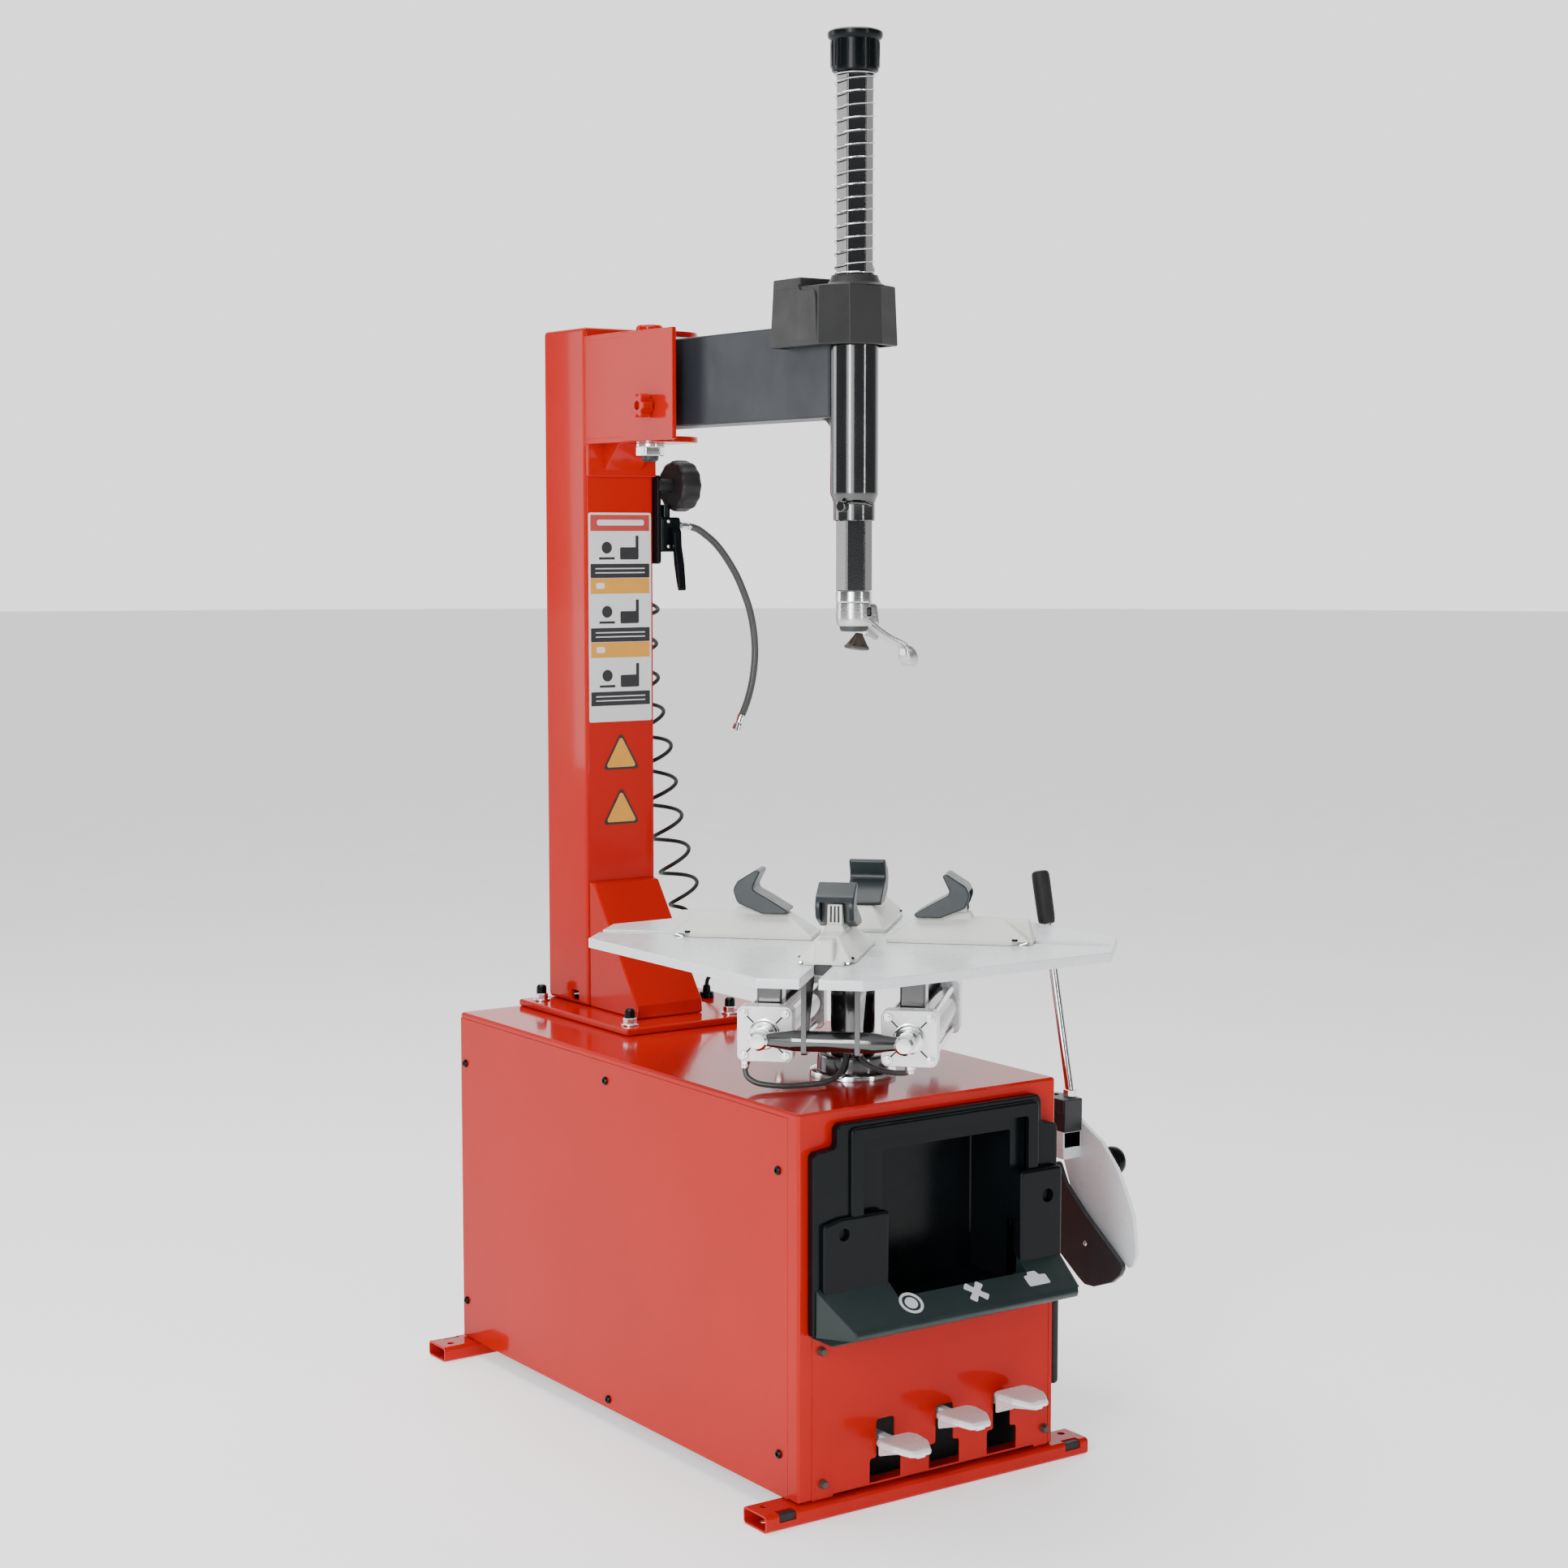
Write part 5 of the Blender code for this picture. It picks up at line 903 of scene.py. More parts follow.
def build_head():
    """The mounting head: clamp ring, cast barrel, bill with its foot, and the roller under it."""
    place = Matrix.Translation((0, TABLE_Y, HEAD_TOP))
    rim = turned(((0.0, 0.0), (0.0226, 0.0), (0.0232, -0.0012), (0.0234, -0.0125), (0.0224, -0.014),
        (0.0, -0.014)), steps=72)
    settle("head_ring", rim, "shaft", "bright", place=place)
    barrel = turned(((0.0, -0.0146), (0.0222, -0.0146), (0.0226, -0.016), (0.0229, -0.033),
        (0.0222, -0.039), (0.02, -0.0435), (0.0, -0.0435)), steps=72)
    cheek = block((-0.001, -0.0215, -0.044), (0.0275, -0.004, -0.015), 0.0055, (0.72, 0.9), 4)
    for solid in (barrel, cheek):
        cut(solid, block((0.0035, -0.04, -0.0315), (0.0125, -0.012, -0.02), 0.0026))
    flat = rounded(rectangle(-1, -1, 1, 1), 0.45, 5)
    line = smooth_route(((0.0, -0.004, -0.029), (0.013, -0.006, -0.039), (0.026, -0.008, -0.048),
        (0.04, -0.01, -0.0565), (0.052, -0.013, -0.0625), (0.0625, -0.016, -0.068),
        (0.0695, -0.018, -0.076)), 0.003)
    count = len(line) - 1
    tongue = sweep(line, flat,
        [(0.0175 - 0.007 * k / count,
        0.0032 - 0.0008 * math.sin(math.pi * k / count)) for k in range(count + 1)], (0, 1, 0))
    pad_line = smooth_route(((0.066, -0.0175, -0.0705), (0.0705, -0.018, -0.0785),
        (0.0735, -0.0185, -0.088), (0.0722, -0.0188, -0.0955)), 0.002)
    last = len(pad_line) - 1
    foot = sweep(pad_line, flat,
        [(0.0085 + 0.003 * math.sin(math.pi * k / last),
        0.003 + 0.006 * (1 - (2 * k / last - 1.2) ** 2 / 1.5)) for k in range(last + 1)], (0, 1, 0))
    bevel(foot, 0.0022, 3, 50)
    tab = prism(rounded(((0.023, -0.04), (0.0415, -0.0405), (0.0425, -0.064), (0.023, -0.056)),
        (0.002, 0.005, 0.003, 0.002)), "XZ", 0.004, 0.0135, 0.0022)
    settle("mount_head_skin", [barrel, cheek, tongue, foot, tab], "shaft", "head", "mount_head",
           place=place, crisp=50)
    lower = turned(((0.0, -0.0425), (0.0186, -0.0425), (0.0178, -0.048), (0.016, -0.0505), (0.0, -0.0505)),
        steps=72)
    socket = block((0.004, -0.02, -0.031), (0.012, -0.0125, -0.0205), 0.002)
    settle("head_lower", [lower, socket], "shaft", "head_dark", place=place)
    roller = stack(rounded(star(5, ((0, 0.0205), (36, 0.0125))), 0.004), ((0.26, 0.0125), (0.4, 0.0085),
        (0.8, -0.002), (1.0, -0.0052), (0.94, -0.0078), (0.45, -0.0092)))
    tilted = Matrix.Translation((0.009, 0.003, -0.0655)) @ Matrix.Rotation(math.radians(8), 4, "Y")
    settle("head_roller_skin", roller, "shaft", "brown", "head_roller", place=place @ tilted)


# ---------------------------------------------------------------- turntable

def tip(turn):
    """Matrix from a piece laid out along +X to one of the table's tips."""
    return TABLE_PLACE @ Matrix.Rotation(math.radians(turn), 4, "Z")


def build_table():
    """The turntable with everything that turns with it, and the flange it turns in."""
    refine("turntable", "silver", 0.001)
    top, deep = TABLE_LOW - GAP, 0.44
    hub = turned(((0.0, 0.0), (0.055, 0.0), (0.055, -0.006), (0.0538, -0.008), (HUB_R + 0.006, -0.01),
        (HUB_R + 0.0015, -0.013), (HUB_R, -0.018), (HUB_R, deep - top), (0.0, deep - top)),
        (0, TABLE_Y, top), steps=72)
    settle("turntable_hub_skin", hub, "table", "black_gloss", "turntable_hub")
    flange = turned(((HUB_R + 0.0006, 0.03), (0.041, 0.03), (0.0445, 0.0285), (0.0458, 0.025),
        (0.0465, 0.009), (HUB_R + 0.0006, 0.009), (HUB_R + 0.0006, 0.03)), (0, TABLE_Y, CAB_TOP), steps=72)
    settle("table_flange_skin", flange, "machine", "black_gloss", "table_flange")
    ring_low = turned(((HUB_R + 0.0006, 0.009), (0.0475, 0.009), (0.055, 0.007), (0.056, 0.005),
        (0.056, 0.0004), (HUB_R + 0.0006, 0.0004), (HUB_R + 0.0006, 0.009)), (0, TABLE_Y, CAB_TOP),
        steps=72)
    settle("flange_ring", ring_low, "machine", "bright")
    build_rails()
    for name, side in (("left", -CYL_OFF), ("right", CYL_OFF)):
        build_cylinder(name, side)
    build_crossbar()
    for index in range(1, 5):
        build_jaw(index)
    build_table_hoses()


def build_rails():
    """The bright lips along the outer part of each slot in the table."""
    rails = []
    for turn in (45, 135, 225, 315):
        for side in (-1, 1):
            low = sorted((side * (SLOT_W / 2 + 0.0006), side * (SLOT_W / 2 + 0.0042)))
            rail = block((0.236, low[0], TABLE_TOP - 0.002), (0.318, low[1], TABLE_TOP + 0.00022), 0.0002)
            rail.data.transform(Matrix.Rotation(math.radians(turn), 4, "Z"))
            rails.append(rail)
    settle("slot_rails", rails, "table", "paper", place=TABLE_PLACE)


def build_cylinder(name, side):
    """A pneumatic clamp cylinder: barrel, square end caps, tie rods, gland and hangers."""
    half = CYL_SIDE / 2
    corner = half - 0.0088
    corners = [(side + a * corner, CYL_Z + b * corner) for a in (-1, 1) for b in (-1, 1)]
    square = rounded(rectangle(side - half, CYL_Z - half, side + half, CYL_Z + half), 0.0085)
    caps, nuts, groove_shade_lines = [], [], []
    for out in (1, -1):
        outer = out * CYL_REACH
        start, end = sorted((outer, outer - out * CAP_LONG))
        caps.append(prism(square, "YZ", start, end, 0.0018, 3))
        for a, b in ((-1, -1), (-1, 1), (1, -1), (1, 1)):
            near, far = 0.0142, 0.024
            # thin charcoal lines on each cap's face stand in for the shade in its grooves: painted shade
            groove_shade_lines.append(bar((outer, side + a * near, CYL_Z + b * near),
                (outer, side + a * far, CYL_Z + b * far), 0.001, sides=12))
        for a, b in corners:
            nuts.append(bar((outer - 0.001 * out, a, b), (outer + 0.0042 * out, a, b), 0.0064, sides=6,
                            edge=0.001))
            nuts.append(bar((outer, a, b), (outer + 0.0064 * out, a, b), 0.0032, sides=16, edge=0.0006))
    rods = [bar((-CYL_REACH + 0.02, a, b), (CYL_REACH - 0.02, a, b), 0.0036, sides=20) for a, b in corners]
    place = tip(225)
    settle(f"cylinder_caps_{name}", caps, "table", "cast", f"clamp_cylinder_{name}", place=place)
    settle(f"cylinder_nuts_{name}", nuts + rods, "table", "bright", place=place)
    # the caps' groove lines: painted shade
    settle(f"cap_groove_shade_{name}", groove_shade_lines, "table", "charcoal", place=place)
    barrel = bar((-CYL_REACH + 0.02, side, CYL_Z), (CYL_REACH - 0.02, side, CYL_Z), half - 0.0032, sides=64)
    hangers = [prism(rounded(rectangle(x - 0.015, side - 0.016, x + 0.015, side + 0.016), 0.003), "XY",
                     CYL_Z + half - 0.01, TABLE_LOW - GAP, 0.001) for x in (-0.085, 0.085)]
    settle(f"cylinder_barrel_{name}", [barrel, *hangers], "table", "black_gloss", place=place)
    gland = turned(((ROD_R + 0.0004, 0.0085), (0.0165, 0.0085), (0.0182, 0.007), (0.0184, 0.0046),
        (0.0172, 0.004), (0.0172, 0.003), (0.0196, 0.0024), (0.0198, -0.001), (ROD_R + 0.0004, -0.001),
        (ROD_R + 0.0004, 0.0085)), (CYL_REACH, side, CYL_Z), (1, 0, 0))
    settle(f"rod_gland_{name}", gland, "table", "bright", place=place)
    drop = CYL_Z - half
    fittings = []
    for x in (-CYL_REACH + 0.012, CYL_REACH - 0.012):
        y = side - 0.027 if side < 0 else side
        fittings.append(bar((x, y, drop - 0.0055), (x, y, drop + 0.001), 0.0068, sides=6, edge=0.0008))
        fittings.append(bar((x, y, drop - 0.0105), (x, y, drop - 0.005), 0.0054, sides=24, edge=0.001))
    settle(f"cylinder_fittings_{name}", fittings, "table", "bright", place=place)


def build_crossbar():
    """The link bar with the two piston rods and the two drop plates to the front jaw's slide."""
    at, end = BAR_AT, CYL_OFF + 0.001
    link = turned(((0.0, end), (0.0064, end), (0.0068, end - 0.002), (0.0128, 0.05), (0.013, 0.046),
        (0.013, -0.046), (0.0128, -0.05), (0.0068, -end + 0.002), (0.0064, -end), (0.0, -end)),
        (at, 0, CYL_Z), (0, 1, 0), 48)
    plates = []
    for side in (-0.0365, 0.0295):
        outline = ((at + 0.013, CYL_Z - 0.016), (at + 0.013, TABLE_LOW - 0.002),
            (at - 0.045, TABLE_LOW - 0.002), (at - 0.045, TABLE_LOW - 0.022), (at - 0.012, CYL_Z + 0.018),
            (at - 0.011, CYL_Z - 0.016))
        plates.append(prism(rounded(outline, (0.004, 0.002, 0.002, 0.004, 0.01, 0.004)), "XZ", side,
                            side + 0.007, 0.0009))
    bridge = block((at - 0.043, -0.033, TABLE_LOW - 0.01), (at - 0.016, 0.033, TABLE_LOW - 0.003), 0.001)
    settle("clamp_crossbar_skin", [link, *plates, bridge], "crossbar", "black_gloss", "clamp_crossbar",
           place=tip(225))
    rods = []
    for side in (-CYL_OFF, CYL_OFF):
        rods.append(bar((0.005, side, CYL_Z), (at + 0.004, side, CYL_Z), ROD_R, sides=40))
        rods.append(turned(((0.0, 0.0155), (0.009, 0.015), (0.0122, 0.012), (0.0126, 0.0), (0.0122, -0.011),
            (0.0108, -0.0125), (0.0, -0.0125)), (at, side, CYL_Z), (1, 0, 0), 40))
    settle("piston_rods", rods, "crossbar", "bright", place=tip(225))


def build_jaw(index):
    """A sliding carriage with its key, post and corner clips, and the plastic-faced hook on it."""
    low = TABLE_TOP + GAP
    body, place = f"jaw_{index}", tip(225 + 90 * (index - 1))
    foot = ((0.047, -0.0355), (0.205, -0.0355), (0.2135, -0.025), (0.231, -0.025), (0.231, 0.025),
        (0.2135, 0.025), (0.205, 0.0355), (0.047, 0.0355))
    sole = prism(rounded(foot, 0.003), "XY", low, low + 0.0052, 0.0011)
    housing = block((0.048, -0.0335, low + 0.004), (0.228, 0.0335, low + 0.03), 0.0022, (0.62, 0.38), 4)
    nose = block((0.15, -0.0125, low + 0.003), (0.2312, 0.0125, low + 0.029), 0.003, (0.84, 0.88), 4)
    key = block((0.086, -SLOT_W / 2 + 0.0006, TABLE_LOW + 0.0005), (0.231, SLOT_W / 2 - 0.0006,
                                                                    low + 0.002), 0.0008)
    post = block((JAW_R - 0.0178, -0.01, low + 0.018), (JAW_R - 0.003, 0.01, low + 0.062), 0.0016,
                 (0.8, 0.9), 3)
    foot_block = block((JAW_R - 0.044, -0.017, low + 0.02), (JAW_R + 0.008, 0.017, low + 0.038), 0.003,
                       (0.7, 0.6), 3)
    settle(f"jaw_key_{index}", key, body, "charcoal", place=place)
    solids = [sole, housing, nose, post, foot_block]
    settle(f"jaw_carriage_{index}_skin", solids, body, "casting_white", f"jaw_carriage_{index}",
           place=place)
    base = low + 0.0305
    hook = ((JAW_R - 0.07, base + 0.004), (JAW_R - 0.066, base), (JAW_R - 0.036, base), (JAW_R - 0.004,
        base + 0.013), (JAW_R + 0.002, base + 0.03), (JAW_R - 0.004, base + 0.041), (JAW_R - 0.028,
        base + 0.056), (JAW_R - 0.034, base + 0.054), (JAW_R - 0.023, base + 0.031), (JAW_R - 0.05,
        base + 0.016))
    radii = (0.002, 0.003, 0.008, 0.01, 0.012, 0.01, 0.004, 0.003, 0.006, 0.012)
    cover = prism(rounded(hook, radii), "XZ", -0.024, 0.024, 0.0032, 4)
    cut(cover, block((JAW_R - 0.0185, -0.0185, low), (JAW_R + 0.02, 0.0185, low + 0.0645), 0.001))
    settle(f"jaw_hook_{index}_skin", cover, body, "jaw", f"jaw_hook_{index}", place=place, crisp=40)
    ribs = [bar((JAW_R - 0.0034, y, low + 0.04), (JAW_R - 0.0046, y * 0.95, low + 0.06), 0.0012,
        sides=12) for y in (-0.0048, 0.0, 0.0048)]
    settle(f"jaw_ribs_{index}", ribs, body, "charcoal", place=place)
    clips, pins = [], []
    for side in (-1, 1):
        clips.append(bar((0.209, side * 0.03, low + 0.0048), (0.209, side * 0.03, low + 0.0078), 0.0042,
                         sides=24, edge=0.0008))
        pins.append(bar((0.215, side * 0.0285, low - 0.0002), (0.225, side * 0.0285, low + 0.003), 0.0022,
                        sides=16, edge=0.0006))
    settle(f"jaw_clips_{index}", clips, body, "plastic", place=place)
    settle(f"jaw_pins_{index}", pins, body, "bright", place=place)


def build_table_hoses():
    """Two short air lines between the cylinders and the hub, held at both ends."""
    low = CAB_TOP + 0.0056
    lines = {"left": ((0.118, -0.117, low + 0.024), (0.1205, -0.115, low + 0.012),
        (0.122, -0.1, low + 0.003), (0.118, -0.07, low), (0.105, -0.042, low), (0.086, -0.019, low + 0.001),
        (0.068, -0.006, low + 0.008), (0.055, -0.001, low + 0.022), (0.045, 0.0, low + 0.036),
        (0.031, 0.0, low + 0.042)), "right": ((0.031, 0.01, low + 0.034), (0.048, 0.015, low + 0.031),
        (0.068, 0.026, low + 0.023), (0.09, 0.048, low + 0.019), (0.106, 0.07, low + 0.019),
        (0.115, 0.084, low + 0.0215), (0.118, 0.09, low + 0.026)),}
    for name, points in lines.items():
        place = SHIFT @ tip(225)
        route = smooth_route([place @ Vector(p) for p in points], 0.006)
        hose = settle(f"table_hose_{name}", sweep([SHIFT.inverted() @ p for p in route], ring(0.0035, 16)),
                      "table", "hose")


# ---------------------------------------------------------------- drive, inside the cabinet

def build_drive():
    for node, look in (("drive_gearbox", "grey"), ("drive_motor", "grey"), ("motor_pulley", "cast"),
            ("worm_pulley", "cast"), ("drive_belt", "rubber"), ("breaker_cylinder", "cast"), ("pedal_shaft",
            "steel"), ("breaker_rod", "steel")):
        refine(node, look, 0.0008 if node.startswith("drive_g") else 0.0)


# ---------------------------------------------------------------- bead breaker

def build_breaker():
    """The bead breaker's arm, hinge and two-plate blade."""
    refine("breaker_hinge", "red", 0.001)
    refine("breaker_arm", "black_gloss", 0.001)
    cheek = ((-0.216, 0.4225), (-0.23, 0.414), (-0.2455, 0.3995), (-0.27, 0.386), (-0.3025, 0.37),
        (-0.334, 0.339), (-0.356, 0.304), (-0.368, 0.278), (-0.375, 0.23), (-0.369, 0.212), (-0.361, 0.207),
        (-0.328, 0.223), (-0.278, 0.256), (-0.24, 0.294), (-0.216, 0.35))
    shovel = prism(rounded(cheek, 0.012, 5), "YZ", 0.3865, 0.3925, 0.0012)
    spacer = bar((0.37, -0.298, 0.235), (0.388, -0.298, 0.235), 0.007)
    settle("breaker_cheek", [shovel, spacer], "blade", "shovel", "breaker_blade")
    dark = ((-0.2275, 0.35), (-0.252, 0.305), (-0.292, 0.272), (-0.36, 0.224), (-0.372, 0.215),
        (-0.364, 0.201), (-0.348, 0.188), (-0.313, 0.1745), (-0.294, 0.1735), (-0.28, 0.181),
        (-0.232, 0.213), (-0.2275, 0.23))
    inner = prism(rounded(dark, 0.01, 5), "YZ", 0.366, 0.374, 0.0014)
    pin_x, pin_y = BREAKER_TIP
    fork = [(pin_x - 0.016, -0.26), (pin_x + 0.016, -0.26), *arc((pin_x, pin_y), 0.0165, 0, 180, 24)]
    web = block((pin_x - 0.015, -0.26, 0.34), (0.3872, -0.242, BREAKER_Z - 0.012), 0.0015)
    crown = block((pin_x - 0.015, -0.262, BREAKER_Z - 0.0125), (pin_x + 0.0165, -0.24, BREAKER_Z + 0.0322),
                  0.0015)
    forks = [prism(fork, "XY", BREAKER_Z + a, BREAKER_Z + b, 0.001) for a, b in ((-0.035, -0.0125),
                                                                                 (0.0125, 0.0325))]
    for part in forks:
        cut(part, bar((pin_x, pin_y, 0.3), (pin_x, pin_y, 0.5), 0.0065))
    settle("breaker_inner_blade", [inner, forks[1], crown], "blade", "charcoal")
    settle("breaker_web", [web, forks[0]], "blade", "shovel")
    rivet = screw_head((0.366, -0.296, 0.231), (-1, 0, 0), 0.0036, 0.0022)
    settle("blade_rivet", rivet, "blade", "bright")


def build_handle():
    """The handle rod with its grip, and the knob on the outer plate."""
    rod_x = BREAKER_TIP[0] + 0.0085
    foot_z = BREAKER_Z + 0.0328
    top = Vector((rod_x, -0.193, 0.656))
    foot = Vector((rod_x, -0.245, foot_z + 0.003))
    rod = bar(foot, top, 0.006, sides=32)
    nut = bar((rod_x, -0.245, foot_z), (rod_x, -0.245, foot_z + 0.01), 0.0098, sides=6, edge=0.001)
    settle("breaker_handle_skin", [rod, nut], "blade", "bright", "breaker_handle")
    along = (top - foot).normalized()
    grip = turned(((0.0, 0.0745), (0.007, 0.0742), (0.0108, 0.0725), (0.0122, 0.069), (0.0125, 0.06),
        (0.0122, 0.014), (0.0118, 0.006), (0.0108, 0.0015), (0.008, 0.0), (0.0, 0.0)), top - along * 0.002,
        along, 48)
    settle("breaker_grip", grip, "blade", "rubber")
    knob = turned(((0.0, 0.018), (0.009, 0.018), (0.014, 0.0172), (0.0176, 0.0148), (0.0196, 0.011),
        (0.0204, 0.006), (0.0196, 0.0022), (0.015, 0.0), (0.0, 0.0)), (0.3928, -0.312, 0.343), (1, 0, 0))
    settle("breaker_knob_skin", knob, "blade", "plastic", "breaker_knob")


# ---------------------------------------------------------------- pedals

def build_pedals():
    shaft_y, shaft_z = PEDAL_SHAFT
    for index, (name, x, z) in enumerate(zip(("left", "middle", "right"), PEDAL_X, PEDAL_Z), 1):
        top = min(z + 0.001, 0.1035)
        side = ((shaft_y + 0.004, shaft_z - 0.011), (shaft_y + 0.004, shaft_z + 0.011), (-0.4, top),
            (-0.434, top), (-0.444, z + 0.001), (-0.5, z + 0.001), (-0.5, z - 0.008), (-0.44, top - 0.014),
            (-0.4, top - 0.016))
        lever = prism(rounded(side, 0.003), "YZ", x - 0.006, x + 0.006, 0.0012)
        hub = bar((x - 0.012, shaft_y, shaft_z), (x + 0.012, shaft_y, shaft_z), 0.015, edge=0.001)
        for solid in (lever, hub):
            cut(solid, bar((x - 0.03, shaft_y, shaft_z), (x + 0.03, shaft_y, shaft_z), 0.0085))
        outline = ((-0.025, -0.44), (0.025, -0.44), (0.03, -0.453), (0.027, -0.478), (0.014, -0.5015),
            (-0.014, -0.5015), (-0.027, -0.478), (-0.03, -0.453))
        plan = rounded([(x + a, b) for a, b in outline], 0.007, 5)
        middle_y = -0.47
        bm = bmesh.new()
        rows = []
        for height, scale in ((z - 0.005, 0.8), (z - 0.0024, 0.98), (z + 0.0012, 1.0), (z + 0.0044, 0.93),
                              (z + 0.0058, 0.8)):
            rows.append([bm.verts.new((x + (a - x) * scale, middle_y + (b - middle_y) * scale,
                height - (0.0022 if b < -0.49 else 0.0))) for a, b in plan])
        pad = close_rows(bm, rows)
        gusset = prism(rounded(((-0.43, z - 0.004), (-0.43, top - 0.024), (-0.444, z - 0.018),
            (-0.486, z - 0.004)), 0.002), "YZ", x - 0.014, x + 0.014, 0.002)
        settle(f"pedal_{index}_skin", [lever, hub, pad, gusset], f"pedal_{name}", "cast", f"pedal_{index}")


# ---------------------------------------------------------------- inflator

def build_inflator():
    """The valve body on the column's right side, with its unions, studs, gauge and trigger."""
    wall = COL_HALF + GAP
    plate = prism(rounded(rectangle(0.295, 1.145, 0.348, 1.272), 0.005), "YZ", wall, wall + 0.006, 0.0012)
    valve = block((wall + 0.004, 0.292, 1.162), (wall + 0.038, 0.32, 1.212), 0.004)
    stem = bar((0.078, 0.307, 1.205), (0.078, 0.307, 1.23), 0.007)
    supply = bar((0.085, 0.319, 1.17), (0.085, 0.344, 1.17), 0.0066, sides=6, edge=0.0008)
    settle("inflator_body_skin", [plate, valve, stem], "machine", "plastic", "inflator_body")
    union = [bar((wall + 0.034, 0.3, 1.199), (wall + 0.042, 0.3, 1.199), 0.0078, sides=6, edge=0.001),
        turned(((0.0, 0.019), (0.0052, 0.019), (0.0058, 0.015), (0.005, 0.013), (0.006, 0.01), (0.006, 0.0),
        (0.0, 0.0)), (wall + 0.04, 0.3, 1.199), (1, 0, 0), 32), supply, bar((0.085, 0.3435, 1.17),
        (0.085, 0.35, 1.17), 0.005, sides=24, edge=0.0006)]
    settle("inflator_unions", union, "machine", "bright")
    studs = [screw_head((0.074, 0.292, z), (0, -1, 0), 0.0026, 0.0016) for z in (1.17, 1.206)]
    settle("inflator_studs", studs, "machine", "bright")
    build_gauge()
    grip = ((0.289, 1.1965), (0.2835, 1.1975), (0.28, 1.19), (0.279, 1.17), (0.2725, 1.145), (0.27, 1.125),
        (0.268, 1.108), (0.272, 1.106), (0.2775, 1.122), (0.283, 1.145), (0.285, 1.162), (0.2885, 1.18))
    handle = prism(rounded(grip, 0.006, 5), "YZ", 0.077, 0.089, 0.0022)
    settle("inflator_trigger_skin", handle, "trigger", "plastic", "inflator_trigger")


def build_gauge():
    """The round gauge in its lobed rubber boot; its face looks to the right."""
    radius, lobes = 0.037, 12
    outline = star(144, ((0, 1.0),))
    outline = [(reach * a, reach * b) for (a, b),
        reach in ((unit, radius - 0.0016 * (1 - math.cos(lobes * math.atan2(unit[1], unit[0]))) / 2)
        for unit in outline)]
    boot = stack(outline, ((0.8, 0.0), (0.9, 0.0008), (0.97, 0.0045), (1.0, 0.01), (1.0, 0.024),
        (0.97, 0.0285), (0.93, 0.031), (0.86, 0.0315), (0.83, 0.029)))
    place = Matrix.Translation(GAUGE_AT) @ facing((1, 0, 0))
    neck = bar((0, 0, -0.0245), (0, 0, 0.002), 0.01)
    settle("pressure_gauge_skin", [boot, neck], "machine", "rubber", "pressure_gauge", place=place,
           crisp=45)
    settle("gauge_bezel", turned(((0.027, 0.03), (0.0272, 0.0318), (0.03, 0.032), (0.0306, 0.0288),
        (0.027, 0.0288), (0.027, 0.03))), "machine", "bright", place=place)
    settle("gauge_face", turned(((0.0, 0.0294), (0.0271, 0.0294), (0.0271, 0.0286), (0.0, 0.0286))),
           "machine", "paper", place=place)
    ticks = []
    for step in range(21):
        turn = math.radians(-135 + 13.5 * step)
        start = 0.0195 if step % 5 == 0 else 0.0218
        mark = block((-0.0004, start, 0.0292), (0.0004, 0.0248, 0.0296))
        mark.data.transform(Matrix.Rotation(-turn, 4, "Z"))
        ticks.append(mark)
    needle = prism(((-0.001, -0.006), (0.001, -0.006), (0.0003, 0.0205), (-0.0003, 0.0205)), "XY", 0.0296,
                   0.0301)
    needle.data.transform(Matrix.Rotation(math.radians(128), 4, "Z"))
    ticks.append(needle)
    ticks.append(bar((0, 0, 0.029), (0, 0, 0.0306), 0.0022, sides=24))
    settle("gauge_marks", ticks, "machine", "print_black", place=place)


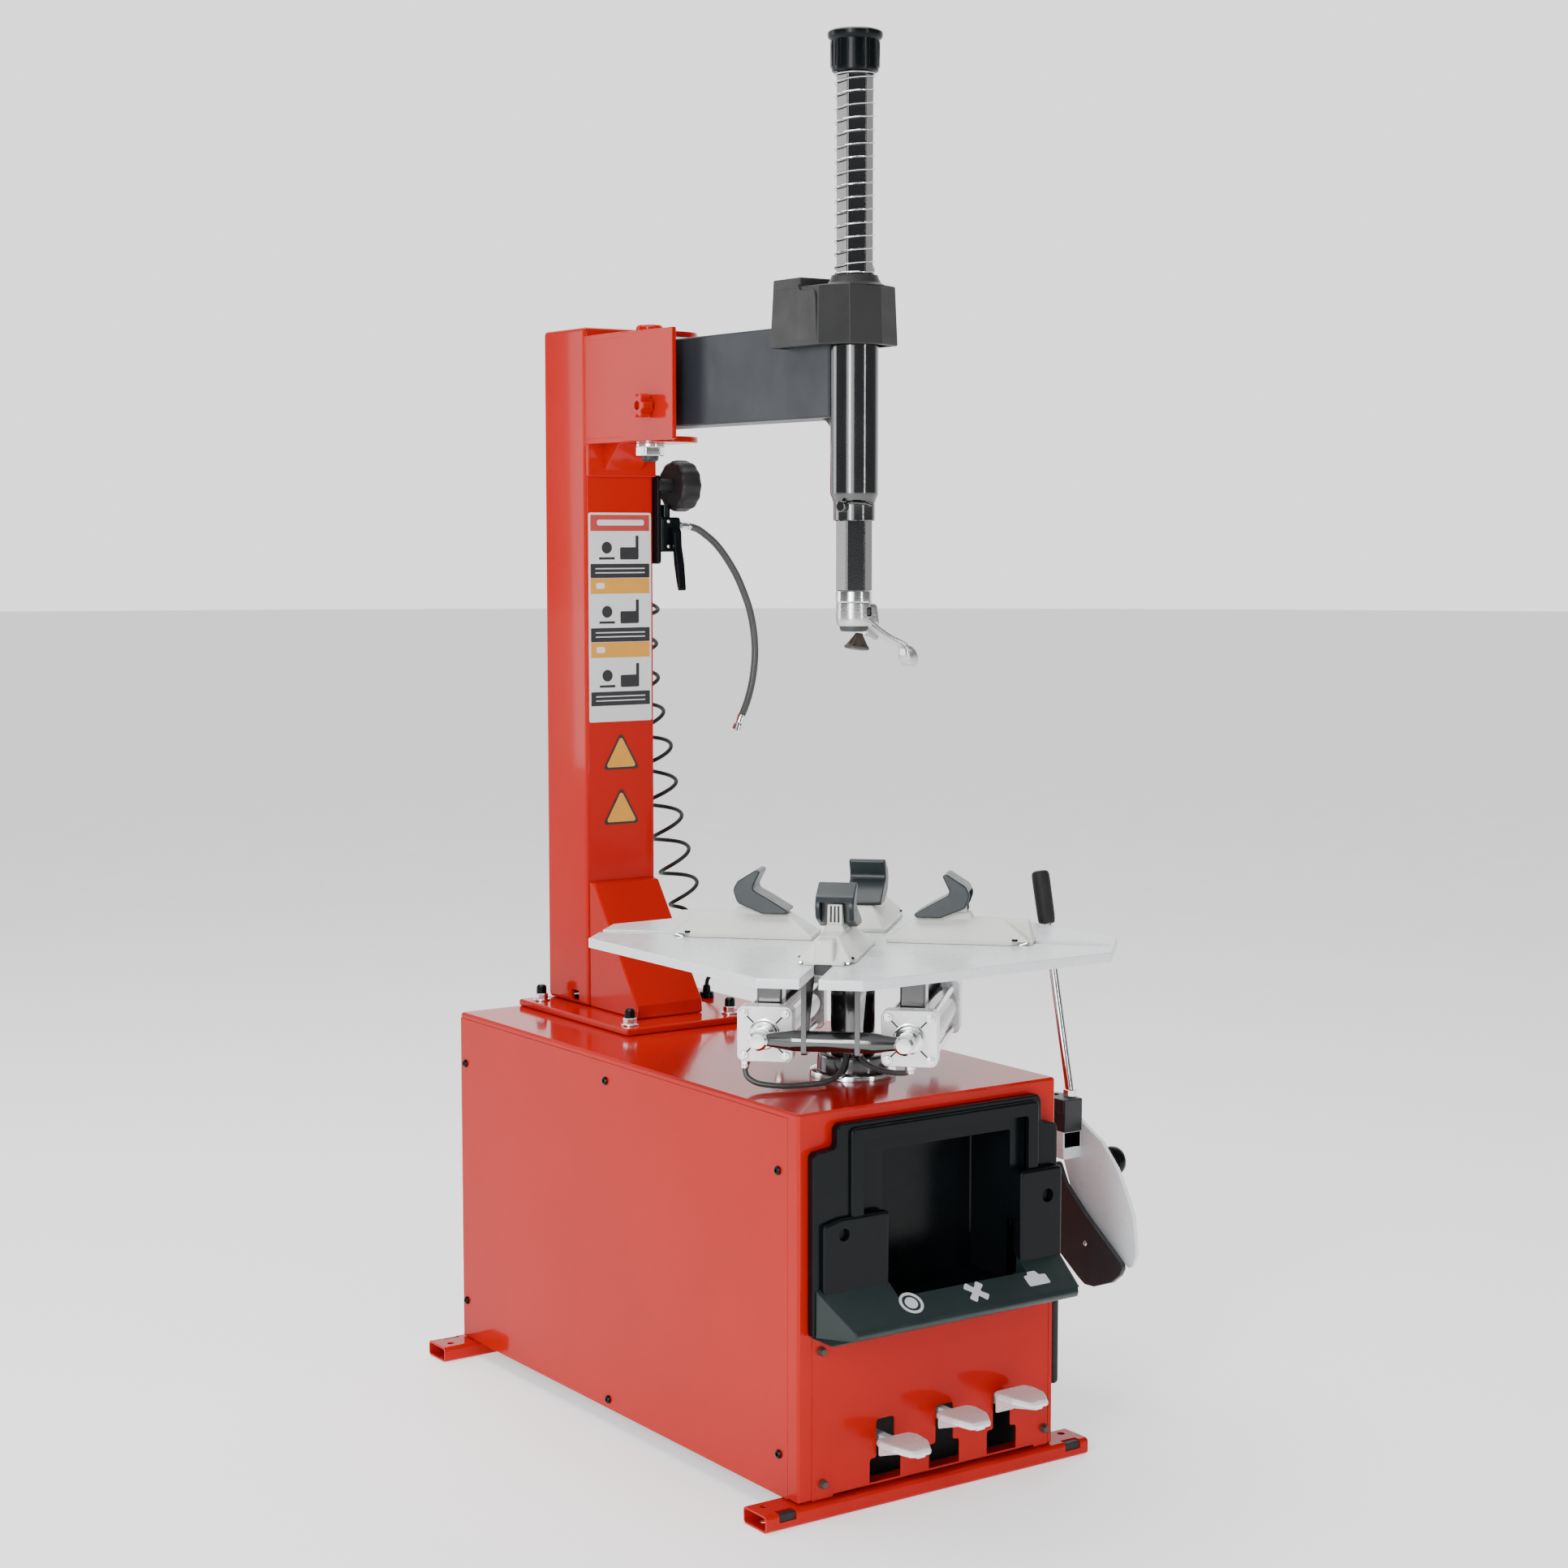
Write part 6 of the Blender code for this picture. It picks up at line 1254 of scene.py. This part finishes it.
def build_hoses():
    route = smooth_route(HOSE_ROUTE, 0.008)
    hose = settle("inflator_hose_skin", sweep(route, ring(HOSE_D / 2, 24)), "machine", "hose",
                  "inflator_hose")
    tip_at = route[-1]
    heading = (Vector(HOSE_ROUTE[-1]) - Vector(HOSE_ROUTE[-2])).normalized()
    start = tip_at + heading * 0.0003
    chuck = turned(((0.0, 0.0262), (0.0032, 0.0262), (0.004, 0.0245), (0.0078, 0.024), (0.0078, 0.015),
        (0.0064, 0.0138), (0.0062, 0.012), (0.007, 0.0105), (0.0072, 0.0), (0.0, 0.0)), start, heading, 40)
    nozzle = settle("air_chuck_skin", chuck, "machine", "bright", "air_chuck")
    build_curly_hose()
    grommet = turned(((0.0034, 0.0192), (0.0046, 0.019), (0.0056, 0.017), (0.0062, 0.01), (0.0098, 0.0092),
        (0.0108, 0.0075), (0.011, 0.0003), (0.0058, 0.0003), (0.0058, -0.008), (0.0034, -0.008),
        (0.0034, 0.0192)), (*GROMMET_AT, CAB_TOP))
    settle("hose_grommet_skin", grommet, "machine", "plastic", "hose_grommet")


def build_curly_hose():
    """The supply hose: a short feed, the long curly stretch and a straight lead into its grommet."""
    core = smooth_route(COIL_ROUTE, 0.002)
    total = measure(core)
    turns, radius = 9.5, COIL_R - LEAD_D / 2 - 0.0004
    coil = []
    normal = Vector((-1, 0, 0))
    run = 0.0
    for index, point in enumerate(core):
        tangent = (core[min(index + 1, len(core) - 1)] - core[max(index - 1, 0)]).normalized()
        normal = (normal - tangent * normal.dot(tangent)).normalized()
        if index:
            run += (point - core[index - 1]).length
        turn = 2 * math.pi * turns * run / total
        ease = min(1.0, run / 0.03, (total - run) / 0.03)
        ease = ease * ease * (3 - 2 * ease)
        side = tangent.cross(normal)
        coil.append(point + (normal * math.cos(turn) + side * math.sin(turn)) * radius * ease)
    points = smooth_route([Vector(p) for p in FEED_ROUTE],
                          0.006) + coil + smooth_route([Vector(p) for p in LEAD_ROUTE], 0.006)
    hose = settle("supply_hose", sweep(points, ring(LEAD_D / 2, 14)), "machine", "rubber",
                  "coiled_air_hose", "air_hose_lead", "air_hose_feed")


# ---------------------------------------------------------------- assembly

build_camera()
build_finishes()
build_studio()
build_cabinet()
build_tray()
build_column()
build_bracket()
build_pivot()
build_stop_knob()
build_arm()
build_lock()
build_shaft()
build_table()
build_drive()
build_breaker()
build_handle()
build_pedals()
build_inflator()
build_hoses()
